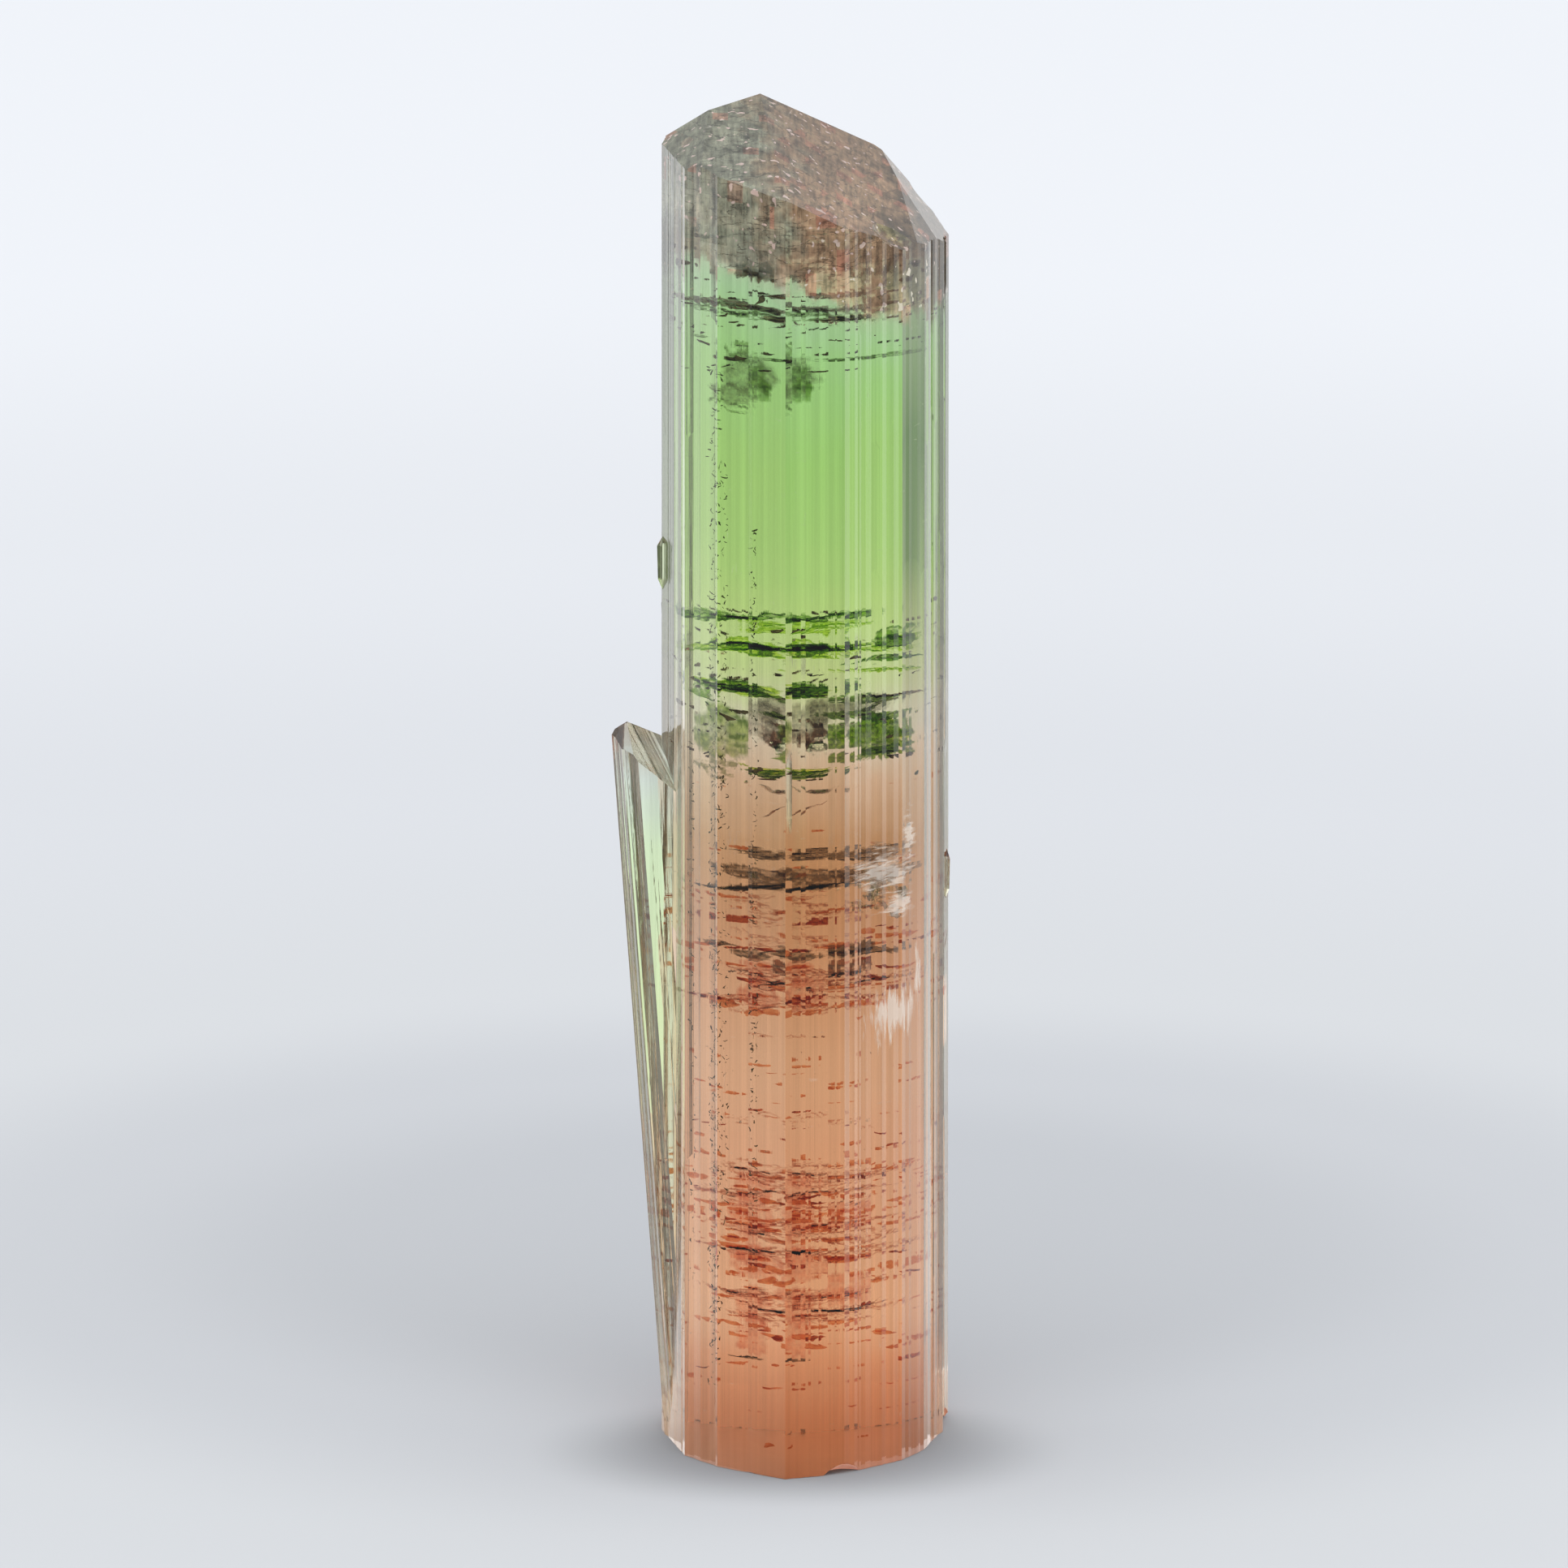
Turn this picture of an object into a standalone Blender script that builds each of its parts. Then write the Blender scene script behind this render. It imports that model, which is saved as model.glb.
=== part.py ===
"""Bicolour tourmaline crystal, standing on its broken base.

A tall striated prism with a rounded triangular section and a low crown of oblique faces
carries a slender side crystal, which leans away from its lower left flank. The two grew
as one piece, so they are one closed solid. The frame has +Z up, the viewer on -Y, and
its origin where the main prism's long axis meets the surface the crystal stands on.
"""

import math
import random

import bmesh
import bpy
from mathutils import Matrix, Vector

MM = 0.001

# Driving dimensions, in millimetres and degrees
CRYSTAL_HEIGHT = 79.8
OVERCUT = 4.0
TAPER = 0.018
LEDGE_RISE = 0.3

# Striae: how uneven their widths are, where across each one its crest stands, and how
# deep the crest and the groove beside it lie, as shares of the face's groove depth
RIDGE_WIDTHS = (0.45, 1.55)
CREST_PLACES = (0.35, 0.75)
CREST_DEPTHS = (0.0, 0.35)
GROOVE_DEPTHS = (0.5, 1.0)
# At a ledge this share of the grooves changes depth, by up to this much, to this limit
LEDGE_SHARE = 0.34
LEDGE_CHANGE = 0.9
GROOVE_LIMIT = 1.6

# Corners of the main prism's section, anticlockwise from its blunt front edge. Each has
# its x and y, then the ridges and the groove depth of the face that runs on from it.
MAIN_SECTION = (
    (-1.14, -8.75, 5, 0.035),
    (2.28, -7.50, 6, 0.04),
    (5.62, -4.45, 5, 0.05),
    (6.94, -2.10, 10, 0.17),
    (8.09, 1.95, 9, 0.19),
    (8.42, 5.50, 6, 0.15),
    (7.13, 7.65, 6, 0.07),
    (2.85, 8.75, 7, 0.07),
    (-1.90, 8.45, 7, 0.07),
    (-6.18, 6.70, 6, 0.12),
    (-7.99, 4.80, 5, 0.15),
    (-8.37, 2.45, 12, 0.15),
    (-6.99, -3.40, 5, 0.05),
    (-5.09, -5.90, 8, 0.04),
)
# Heights at which some of the main prism's ridges step in or out
MAIN_LEDGES = (7.5, 18.0, 29.5, 41.0, 53.4, 61.0, 68.0)

# Crown faces of the main prism: a point on each, the way it faces, anticlockwise from
# +X, and how steeply it slopes.
APEX = (-2.63, 5.60, CRYSTAL_HEIGHT)
MAIN_CROWN = (
    ("front", APEX, -80.5, 15.5),
    ("right", APEX, -19.4, 32.8),
    ("back", APEX, 78.0, 40.0),
    ("back_left", APEX, 142.0, 36.0),
    ("left", (-5.58, 3.00, 79.27), -159.6, 34.8),
    ("right_bevel", (5.70, 6.82, 74.85), -11.0, 42.6),
    ("right_shoulder", (7.11, 4.48, 72.87), -3.4, 48.3),
)

# The side crystal: its section about its own axis, in the main section's terms
SIDE_SECTION = (
    (-0.71, -2.05, 3, 0.03),
    (1.81, -2.20, 3, 0.05),
    (2.60, 0.25, 3, 0.05),
    (1.05, 2.15, 4, 0.06),
    (-1.33, 2.00, 4, 0.10),
    (-2.22, 0.38, 4, 0.12),
    (-1.66, -1.05, 4, 0.11),
)
SIDE_LEDGES = (9.0, 20.0, 31.0)
SIDE_FOOT = (-6.10, 1.00)
SIDE_LEAN = 4.1
SIDE_APEX = (-10.46, 1.95, 43.10)
SIDE_CROWN = (
    ("front", SIDE_APEX, -28.2, 41.5),
    ("left", SIDE_APEX, -114.0, 32.2),
    ("left_shoulder", (-11.23, 1.70, 42.66), -137.6, 35.7),
    ("back", SIDE_APEX, 84.0, 38.0),
    ("back_left", SIDE_APEX, 150.0, 38.5),
)

# Flakes broken from the rim of the base: x, y, radius and how high each reaches
BASE_CHIPS = (
    (2.35, -7.75, 1.70, 0.62),
    (-3.60, -7.75, 1.30, 0.20),
    (8.90, 4.20, 1.90, 0.95),
    (4.60, 9.10, 1.80, 0.45),
    (0.60, 9.60, 1.50, 0.40),
    (-3.90, 8.70, 1.60, 0.60),
    (-7.90, 6.40, 1.40, 0.55),
)
# Shells of conchoidal fracture on the crown's rim: centre, radius
CROWN_CHIPS = (
    ((6.60, -5.00, 75.20), 3.20),
    ((8.00, 8.10, 74.10), 1.90),
    ((-6.90, 7.20, 78.84), 2.10),
)
# Slivers grown on the flanks: mid point, width, height
SLIVERS = (
    ((-8.36, 2.20, 52.60), 0.72, 3.3),
    ((-8.20, 3.40, 49.30), 0.55, 2.2),
    ((8.30, 4.10, 33.50), 0.60, 3.0),
    ((5.40, 8.15, 24.50), 0.80, 4.6),
    ((-4.30, 7.55, 39.00), 0.75, 5.2),
    ((-4.95, 7.35, 43.20), 0.50, 2.6),
)
SLIVER_SIDES = 6
# A sliver's shoulders, as a share of its height each way from its middle, with the share
# of its full width at the lower one, and how far its tip stands off its axis
SLIVER_SHOULDER, SLIVER_LOWER, SLIVER_TIP = 0.30, 0.85, 0.12
CHIP_SEGMENTS, CHIP_RINGS = 20, 10

# Body colours, as linear RGB: pink below, a pale change, then green
COLOUR_STOPS = (
    (0.00, (0.62, 0.19, 0.10, 1.0)),
    (0.46, (0.72, 0.36, 0.20, 1.0)),
    (0.54, (0.50, 0.60, 0.33, 1.0)),
    (0.80, (0.28, 0.58, 0.18, 1.0)),
    (1.00, (0.42, 0.50, 0.38, 1.0)),
)
TOURMALINE_IOR = 1.63
SEED = 41


def clear_scene():
    """Removes whatever the file held before."""
    for obj in list(bpy.data.objects):
        bpy.data.objects.remove(obj, do_unlink=True)


def ridged_outline(section, rng):
    """The section's points, in order: each face is broken into ridges of uneven width,
    with a groove between neighbours. Returns (point, inward direction, groove depth)."""
    outline = []
    for index, (x, y, ridges, depth) in enumerate(section):
        start = Vector((x, y))
        end = Vector(section[(index + 1) % len(section)][:2])
        along = end - start
        inward = Vector((-along.y, along.x)).normalized()
        widths = [rng.uniform(*RIDGE_WIDTHS) for _ in range(ridges)]
        total = sum(widths)
        outline.append((start, inward, 0.0))
        reached = 0.0
        for width in widths[:-1]:
            crest = start + along * ((reached + rng.uniform(*CREST_PLACES) * width) / total)
            reached += width
            groove = start + along * (reached / total)
            outline.append((crest, inward, rng.uniform(*CREST_DEPTHS) * depth))
            outline.append((groove, inward, rng.uniform(*GROOVE_DEPTHS) * depth))
    return outline


def stepped(depth, limit, rng):
    """The depth of a groove past a ledge: as before, or stepped in or out."""
    if rng.random() > LEDGE_SHARE:
        return depth
    return min(limit, depth * (1.0 + rng.uniform(-LEDGE_CHANGE, LEDGE_CHANGE)))


def level_heights(bottom, top, ledges):
    """The heights of the prism's rows of points, two for each ledge."""
    heights = [bottom]
    for ledge in ledges:
        heights += [ledge - LEDGE_RISE / 2, ledge + LEDGE_RISE / 2]
    return heights + [top]


def prism_mesh(section, ledges, bottom, top, taper, rng):
    """A closed striated prism in millimetres. At each ledge some of the grooves change
    depth, as they do where a growth layer ends."""
    outline = ridged_outline(section, rng)
    depths = [depth for _, _, depth in outline]
    limits = [depth * GROOVE_LIMIT for depth in depths]
    bm = bmesh.new()
    rows = []
    for number, height in enumerate(level_heights(bottom, top, ledges)):
        if number and number % 2 == 0:
            depths = [stepped(depth, limit, rng) for depth, limit in zip(depths, limits)]
        grown = 1.0 + taper * (1.0 - height / CRYSTAL_HEIGHT)
        row = []
        for (point, inward, _), depth in zip(outline, depths):
            spot = (point + inward * depth) * grown
            row.append(bm.verts.new((spot.x, spot.y, height)))
        rows.append(row)
    count = len(outline)
    for lower, upper in zip(rows, rows[1:]):
        for i in range(count):
            j = (i + 1) % count
            bm.faces.new((lower[i], lower[j], upper[j], upper[i]))
    bm.faces.new(reversed(rows[0]))
    bm.faces.new(rows[-1])
    return bm


def slope_normal(facing, slope):
    """The outward normal of a crown face that faces that way and slopes that much."""
    turn, tilt = math.radians(facing), math.radians(slope)
    return Vector((math.sin(tilt) * math.cos(turn), math.sin(tilt) * math.sin(turn), math.cos(tilt)))


def cut_flat(bm, point, normal):
    """Cuts away what lies beyond a plane and closes the cut with one flat face."""
    cut = bmesh.ops.bisect_plane(
        bm,
        geom=bm.verts[:] + bm.edges[:] + bm.faces[:],
        plane_co=Vector(point),
        plane_no=normal,
        clear_outer=True,
    )
    rim = [item for item in cut["geom_cut"] if isinstance(item, bmesh.types.BMEdge)]
    bmesh.ops.holes_fill(bm, edges=rim, sides=0)


def finish_mesh(bm, name):
    """Turns a bmesh in millimetres into an object in metres."""
    bmesh.ops.scale(bm, vec=(MM, MM, MM), verts=bm.verts)
    bmesh.ops.recalc_face_normals(bm, faces=bm.faces)
    mesh = bpy.data.meshes.new(name)
    bm.to_mesh(mesh)
    bm.free()
    obj = bpy.data.objects.new(name, mesh)
    bpy.context.scene.collection.objects.link(obj)
    return obj


def main_prism():
    """The tall prism with its crown cut and a flat base at z = 0."""
    rng = random.Random(SEED)
    bm = prism_mesh(MAIN_SECTION, MAIN_LEDGES, -OVERCUT, CRYSTAL_HEIGHT + OVERCUT, TAPER, rng)
    for _, point, facing, slope in MAIN_CROWN:
        cut_flat(bm, point, slope_normal(facing, slope))
    cut_flat(bm, (0.0, 0.0, 0.0), Vector((0.0, 0.0, -1.0)))
    return finish_mesh(bm, "tourmaline_crystal")


def side_crystal():
    """The slender crystal, leaned to the left, with its own crown and base."""
    rng = random.Random(SEED + 1)
    bm = prism_mesh(SIDE_SECTION, SIDE_LEDGES, -OVERCUT, SIDE_APEX[2] + OVERCUT, 0.0, rng)
    lean = Matrix.Rotation(math.radians(-SIDE_LEAN), 4, "Y")
    place = Matrix.Translation((*SIDE_FOOT, 0.0))
    bmesh.ops.transform(bm, matrix=place @ lean, verts=bm.verts)
    for _, point, facing, slope in SIDE_CROWN:
        cut_flat(bm, point, slope_normal(facing, slope))
    cut_flat(bm, (0.0, 0.0, 0.0), Vector((0.0, 0.0, -1.0)))
    return finish_mesh(bm, "side_crystal")


def shell_cutter(name, centre, radius):
    """A ball that scoops a conchoidal flake out of an edge."""
    bm = bmesh.new()
    bmesh.ops.create_uvsphere(bm, u_segments=CHIP_SEGMENTS, v_segments=CHIP_RINGS, radius=radius)
    bmesh.ops.translate(bm, vec=Vector(centre), verts=bm.verts)
    return finish_mesh(bm, name)


def sliver(name, centre, width, height):
    """A small doubly pointed crystal, half sunk in the flank it grew on."""
    bm = bmesh.new()
    shoulder = SLIVER_SHOULDER * height
    rings = ((-shoulder, SLIVER_LOWER), (shoulder, 1.0))
    rows = []
    for level, share in rings:
        row = []
        for side in range(SLIVER_SIDES):
            turn = math.tau * (side + 0.5) / SLIVER_SIDES
            radius = 0.5 * width * share
            row.append(bm.verts.new((radius * math.cos(turn), radius * math.sin(turn), level)))
        rows.append(row)
    foot = bm.verts.new((0.0, 0.0, -height / 2))
    tip = bm.verts.new((SLIVER_TIP * width, 0.0, height / 2))
    for i in range(SLIVER_SIDES):
        j = (i + 1) % SLIVER_SIDES
        bm.faces.new((rows[0][i], rows[0][j], rows[1][j], rows[1][i]))
        bm.faces.new((foot, rows[0][j], rows[0][i]))
        bm.faces.new((tip, rows[1][i], rows[1][j]))
    bmesh.ops.translate(bm, vec=Vector(centre), verts=bm.verts)
    return finish_mesh(bm, name)


def combine(target, helper, operation):
    """Joins a helper to the target, or cuts it away, and keeps the helper out of view."""
    helper.hide_render = True
    helper.display_type = "WIRE"
    modifier = target.modifiers.new(helper.name, "BOOLEAN")
    modifier.operation = operation
    modifier.solver = "EXACT"
    modifier.object = helper


def tourmaline_material():
    """Clear tourmaline: pink and green along its length, with a glassy lustre."""
    material = bpy.data.materials.new("bicolour_tourmaline")
    material.use_nodes = True
    tree = material.node_tree
    shader = tree.nodes["Principled BSDF"]
    shader.inputs["Roughness"].default_value = 0.05
    shader.inputs["Metallic"].default_value = 0.0
    shader.inputs["IOR"].default_value = TOURMALINE_IOR
    shader.inputs["Transmission Weight"].default_value = 0.85
    place = tree.nodes.new("ShaderNodeTexCoord")
    split = tree.nodes.new("ShaderNodeSeparateXYZ")
    share = tree.nodes.new("ShaderNodeMath")
    share.operation = "DIVIDE"
    share.inputs[1].default_value = CRYSTAL_HEIGHT * MM
    ramp = tree.nodes.new("ShaderNodeValToRGB")
    stops = ramp.color_ramp.elements
    while len(stops) < len(COLOUR_STOPS):
        stops.new(0.5)
    for stop, (position, colour) in zip(stops, COLOUR_STOPS):
        stop.position = position
        stop.color = colour
    tree.links.new(place.outputs["Object"], split.inputs["Vector"])
    tree.links.new(split.outputs["Z"], share.inputs[0])
    tree.links.new(share.outputs["Value"], ramp.inputs["Fac"])
    tree.links.new(ramp.outputs["Color"], shader.inputs["Base Color"])
    return material


def build():
    """Builds the crystal: joins what grew on the main prism, then breaks the flakes off."""
    clear_scene()
    crystal = main_prism()
    combine(crystal, side_crystal(), "UNION")
    for number, (centre, width, height) in enumerate(SLIVERS, 1):
        combine(crystal, sliver(f"sliver_{number}", centre, width, height), "UNION")
    for number, (x, y, radius, rise) in enumerate(BASE_CHIPS, 1):
        chip = shell_cutter(f"base_chip_{number}", (x, y, rise - radius), radius)
        combine(crystal, chip, "DIFFERENCE")
    for number, (centre, radius) in enumerate(CROWN_CHIPS, 1):
        combine(crystal, shell_cutter(f"crown_chip_{number}", centre, radius), "DIFFERENCE")
    crystal.data.materials.append(tourmaline_material())


build()
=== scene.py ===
"""A bicolour tourmaline crystal: its clear striated body, the cracks, healed fractures and
cavities inside it, and a plain studio stage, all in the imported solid's frame.

Lengths are in millimetres until a mesh is finished, and in metres from then on.
"""

import logging
import math
import random
from dataclasses import dataclass, field
from enum import Enum
from typing import Any

import bmesh
import bpy
from mathutils import Matrix, Vector, noise


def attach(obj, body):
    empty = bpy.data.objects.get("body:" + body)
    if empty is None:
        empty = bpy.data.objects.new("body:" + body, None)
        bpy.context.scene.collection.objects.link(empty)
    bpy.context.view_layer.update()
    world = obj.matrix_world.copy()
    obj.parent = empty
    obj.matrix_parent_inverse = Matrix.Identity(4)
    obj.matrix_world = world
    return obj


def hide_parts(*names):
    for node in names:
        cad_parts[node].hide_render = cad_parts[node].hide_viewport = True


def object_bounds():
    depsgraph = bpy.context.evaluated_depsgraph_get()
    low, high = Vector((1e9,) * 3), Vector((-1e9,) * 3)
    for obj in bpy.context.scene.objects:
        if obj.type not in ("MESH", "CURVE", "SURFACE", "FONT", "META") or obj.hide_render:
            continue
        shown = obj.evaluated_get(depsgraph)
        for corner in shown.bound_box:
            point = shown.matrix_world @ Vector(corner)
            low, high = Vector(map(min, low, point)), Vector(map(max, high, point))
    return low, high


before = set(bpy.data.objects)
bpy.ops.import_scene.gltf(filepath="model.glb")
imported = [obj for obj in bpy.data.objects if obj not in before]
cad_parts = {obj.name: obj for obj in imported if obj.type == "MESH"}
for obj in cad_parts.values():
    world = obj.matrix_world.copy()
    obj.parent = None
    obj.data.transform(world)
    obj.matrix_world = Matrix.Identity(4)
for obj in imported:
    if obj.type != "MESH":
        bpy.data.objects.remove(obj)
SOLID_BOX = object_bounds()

LOG = logging.getLogger("tourmaline")

MM = 0.001
SEED = 41
NODE = "tourmaline_crystal"
TOURMALINE_IOR = 1.624

# The crystal's sizes, as the solid has them
CRYSTAL_HEIGHT = 79.8
OVERCUT = 4.0
TAPER = 0.018
FRONT_EDGE_Y = -8.75

# Each face of a prism: where it starts, its number of striae and their depth
Face = tuple[float, float, int, float]
MAIN_SECTION: tuple[Face, ...] = (
    (-1.14, -8.75, 11, 0.080),
    (2.28, -7.50, 13, 0.080),
    (5.62, -4.45, 7, 0.070),
    (6.94, -2.10, 10, 0.170),
    (8.09, 1.95, 9, 0.190),
    (8.42, 5.50, 8, 0.150),
    (7.13, 7.65, 11, 0.080),
    (2.85, 8.75, 12, 0.080),
    (-1.90, 8.45, 12, 0.080),
    (-6.18, 6.70, 9, 0.120),
    (-7.99, 4.80, 7, 0.150),
    (-8.37, 2.45, 9, 0.060),
    (-6.99, -3.40, 6, 0.070),
    (-5.09, -5.90, 13, 0.080),
)
# The broad faces, front and back, whose striae are facets at small angles, not steps
BROAD_FACES = (0, 1, 2, 6, 7, 8, 12, 13)
# The number of a spot that is on none of the faces
NO_FACE = -1
SIDE_SECTION: tuple[Face, ...] = (
    (-0.71, -2.05, 6, 0.03),
    (1.81, -2.20, 6, 0.03),
    (2.60, 0.25, 6, 0.03),
    (1.05, 2.15, 7, 0.03),
    (-1.33, 2.00, 6, 0.04),
    (-2.22, 0.38, 7, 0.06),
    (-1.66, -1.05, 6, 0.06),
)
MAIN_LEDGES = (7.5, 18.0, 29.5, 41.0, 53.4, 61.0, 68.0)
SIDE_LEDGES = (9.0, 20.0, 31.0)
SIDE_FOOT = (-6.10, 1.00)
SIDE_LEAN = 4.1

# Crown faces: a point on each, the way it faces and how steeply it slopes, in degrees
CrownFace = tuple[tuple[float, float, float], float, float]
APEX = (-2.63, 5.60, 79.80)
MAIN_CROWN: tuple[CrownFace, ...] = (
    (APEX, -80.5, 15.5),
    (APEX, -19.4, 32.8),
    (APEX, 78.0, 40.0),
    (APEX, 142.0, 36.0),
    ((-5.58, 3.00, 79.27), -159.6, 34.8),
    ((5.70, 6.82, 74.85), -11.0, 42.6),
    ((7.11, 4.48, 72.87), -3.4, 48.3),
)
SIDE_APEX = (-10.46, 1.95, 43.10)
SIDE_CROWN: tuple[CrownFace, ...] = (
    (SIDE_APEX, -28.2, 41.5),
    (SIDE_APEX, -114.0, 32.2),
    ((-11.23, 1.70, 42.66), -137.6, 35.7),
    (SIDE_APEX, 84.0, 38.0),
    (SIDE_APEX, 150.0, 38.5),
)

# Flakes broken from the base rim (x, y, radius, rise) and from the crown (centre, radius)
BASE_CHIPS = (
    (2.35, -7.75, 1.70, 0.62),
    (-3.60, -7.75, 1.30, 0.20),
    (8.90, 4.20, 1.90, 0.95),
    (4.60, 9.10, 1.80, 0.45),
    (0.60, 9.60, 1.50, 0.40),
    (-3.90, 8.70, 1.60, 0.60),
    (-7.90, 6.40, 1.40, 0.55),
)
CROWN_CHIPS = (
    ((6.60, -5.00, 75.20), 3.20),
    ((8.00, 8.10, 74.10), 1.90),
    ((-6.90, 7.20, 78.84), 2.10),
)
# Slivers grown on the flanks: centre, width, height
SLIVERS = (
    ((-8.36, 2.20, 52.60), 0.72, 3.3),
    ((-8.20, 3.40, 49.30), 0.55, 2.2),
    ((8.30, 4.10, 33.50), 0.60, 3.0),
    ((5.40, 8.15, 24.50), 0.80, 4.6),
    ((-4.30, 7.55, 39.00), 0.75, 5.2),
    ((-4.95, 7.35, 43.20), 0.50, 2.6),
)
SLIVER_SIDES = 6
# A flake's sides and rings, and the points that makes
FLAKE_SIDES, FLAKE_RINGS = 9, 5
FLAKE_POINTS = FLAKE_SIDES * (FLAKE_RINGS - 1) + 2

# The photograph's scale at the front edge, its base line and its middle, in pixels
PX_MM = 0.04756
PX_BASE, PX_MIDDLE = 1822.0, 992.0
CAMERA_RISE = 12.0


def linear(code: str, alpha: float = 1.0) -> tuple[float, float, float, float]:
    """Turns an sRGB hex value to linear light.

    Args:
        code: six hex digits.
        alpha: the fourth value to give back.

    Returns:
        Red, green, blue and alpha.
    """
    parts = [int(code[i : i + 2], 16) / 255.0 for i in (0, 2, 4)]
    light = [c / 12.92 if c <= 0.04045 else ((c + 0.055) / 1.055) ** 2.4 for c in parts]
    return (light[0], light[1], light[2], alpha)


def add(
    tree: bpy.types.NodeTree, kind: str, links: dict | None = None, **settings: Any
) -> bpy.types.Node:
    """Adds a node, with its settings, socket values and links.

    Args:
        tree: the node tree.
        kind: the node's type.
        links: for each input, by name or number, a value or the socket that feeds it.
        settings: the node's own properties.

    Returns:
        The node.
    """
    node = tree.nodes.new(kind)
    for name, value in settings.items():
        setattr(node, name, value)
    for key, source in (links or {}).items():
        if isinstance(source, bpy.types.NodeSocket):
            tree.links.new(source, node.inputs[key])
        else:
            node.inputs[key].default_value = source
    return node


def worked(tree: bpy.types.NodeTree, operation: str, *values: Any) -> bpy.types.NodeSocket:
    """One step of arithmetic on numbers.

    Args:
        tree: the node tree.
        operation: the step, as the Math node names it.
        values: its inputs, each a number or the socket that feeds it.

    Returns:
        The result.
    """
    step = add(tree, "ShaderNodeMath", dict(enumerate(values)), operation=operation)
    return step.outputs[0]


def ranged(
    tree: bpy.types.NodeTree,
    value: bpy.types.NodeSocket,
    source: tuple[float, float] = (0.0, 1.0),
    target: tuple[float, float] = (0.0, 1.0),
    **settings: Any,
) -> bpy.types.NodeSocket:
    """A value moved from one range to another and held at its ends.

    Args:
        tree: the node tree.
        value: the value.
        source: the range it comes from.
        target: the range it goes to.
        settings: the node's own properties.

    Returns:
        The result.
    """
    links = {"Value": value, "From Min": source[0], "From Max": source[1]}
    links |= {"To Min": target[0], "To Max": target[1]}
    return add(tree, "ShaderNodeMapRange", links, **settings).outputs["Result"]


def mottled(
    tree: bpy.types.NodeTree,
    place: bpy.types.NodeSocket,
    scale: float,
    detail: float,
    roughness: float = 0.5,
    distortion: float = 0.0,
) -> bpy.types.NodeSocket:
    """An uneven value from 0 to 1 that changes from place to place.

    Args:
        tree: the node tree.
        place: where it is read.
        scale: how many of its patches there are to a unit of length.
        detail: how many times finer patches are laid over them.
        roughness: how strong the finer ones are.
        distortion: how far they are twisted.

    Returns:
        The value.
    """
    links = {"Vector": place, "Scale": scale, "Detail": detail}
    links |= {"Roughness": roughness, "Distortion": distortion}
    return add(tree, "ShaderNodeTexNoise", links).outputs["Fac"]


def stretched(
    tree: bpy.types.NodeTree,
    place: bpy.types.NodeSocket,
    scale: tuple[float, float, float],
    turn: tuple[float, float, float] = (0.0, 0.0, 0.0),
) -> bpy.types.NodeSocket:
    """A place scaled along each axis, then turned by angles in radians."""
    links = {"Vector": place, "Rotation": turn, "Scale": scale}
    return add(tree, "ShaderNodeMapping", links).outputs["Vector"]


def blended(tree: bpy.types.NodeTree, share: Any, first: Any, second: Any) -> bpy.types.NodeSocket:
    """A colour between two, each a colour or the socket that feeds it.

    Args:
        tree: the node tree.
        share: how far it goes from the first to the second, from 0 to 1.
        first: the first colour.
        second: the second colour.

    Returns:
        The colour.
    """
    links = {0: share, 6: first, 7: second}
    return add(tree, "ShaderNodeMix", links, data_type="RGBA").outputs[2]


def started(name: str) -> tuple[bpy.types.Material, bpy.types.NodeSocket]:
    """A new material that has no shader yet.

    Args:
        name: the material's name.

    Returns:
        The material and the socket that gives the place in mm, on Object coordinates.
    """
    material = bpy.data.materials.new(name)
    material.use_nodes = True
    tree = material.node_tree
    tree.nodes.clear()
    place = add(tree, "ShaderNodeTexCoord")
    mm = add(
        tree,
        "ShaderNodeVectorMath",
        {0: place.outputs["Object"], "Scale": 1 / MM},
        operation="SCALE",
    )
    return material, mm.outputs["Vector"]


def set_ramp(
    node: bpy.types.Node, stops: tuple[tuple[float, tuple], ...], ease: str = "LINEAR"
) -> None:
    """Gives a colour ramp its stops.

    Args:
        node: the ramp.
        stops: position and colour, in rising order.
        ease: the way it blends between stops.
    """
    ramp = node.color_ramp
    ramp.interpolation = ease
    while len(ramp.elements) < len(stops):
        ramp.elements.new(1.0)
    for element, (place, colour) in zip(ramp.elements, stops):
        element.position = place
        element.color = colour


def grey(value: float) -> tuple[float, float, float, float]:
    """A grey of that linear value."""
    return (value, value, value, 1.0)


def slope_normal(facing: float, slope: float) -> Vector:
    """The outward normal of a face that faces that way and slopes that much, in degrees."""
    turn, tilt = math.radians(facing), math.radians(slope)
    return Vector(
        (math.sin(tilt) * math.cos(turn), math.sin(tilt) * math.sin(turn), math.cos(tilt)),
    )


def grown(height: float) -> float:
    """How much wider the main prism is at that height than at its apex."""
    return 1.0 + TAPER * (1.0 - height / CRYSTAL_HEIGHT)


def front_face(x: float) -> tuple[Vector, Vector]:
    """The spot of the prism's front at that x, and which way it faces there.

    Args:
        x: the x in mm.

    Returns:
        The spot at height 0, in mm, and the outward normal.
    """
    outline = [Vector((face[0], face[1], 0.0)) for face in MAIN_SECTION]
    fronts = [outline[(k - 3) % len(outline)] for k in range(9)]
    for left, right in zip(fronts, fronts[1:]):
        if x <= right.x:
            break
    share = max(0.0, (x - left.x) / (right.x - left.x))
    along = right - left
    return left + along * min(1.0, share), Vector((along.y, -along.x, 0.0)).normalized()


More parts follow.
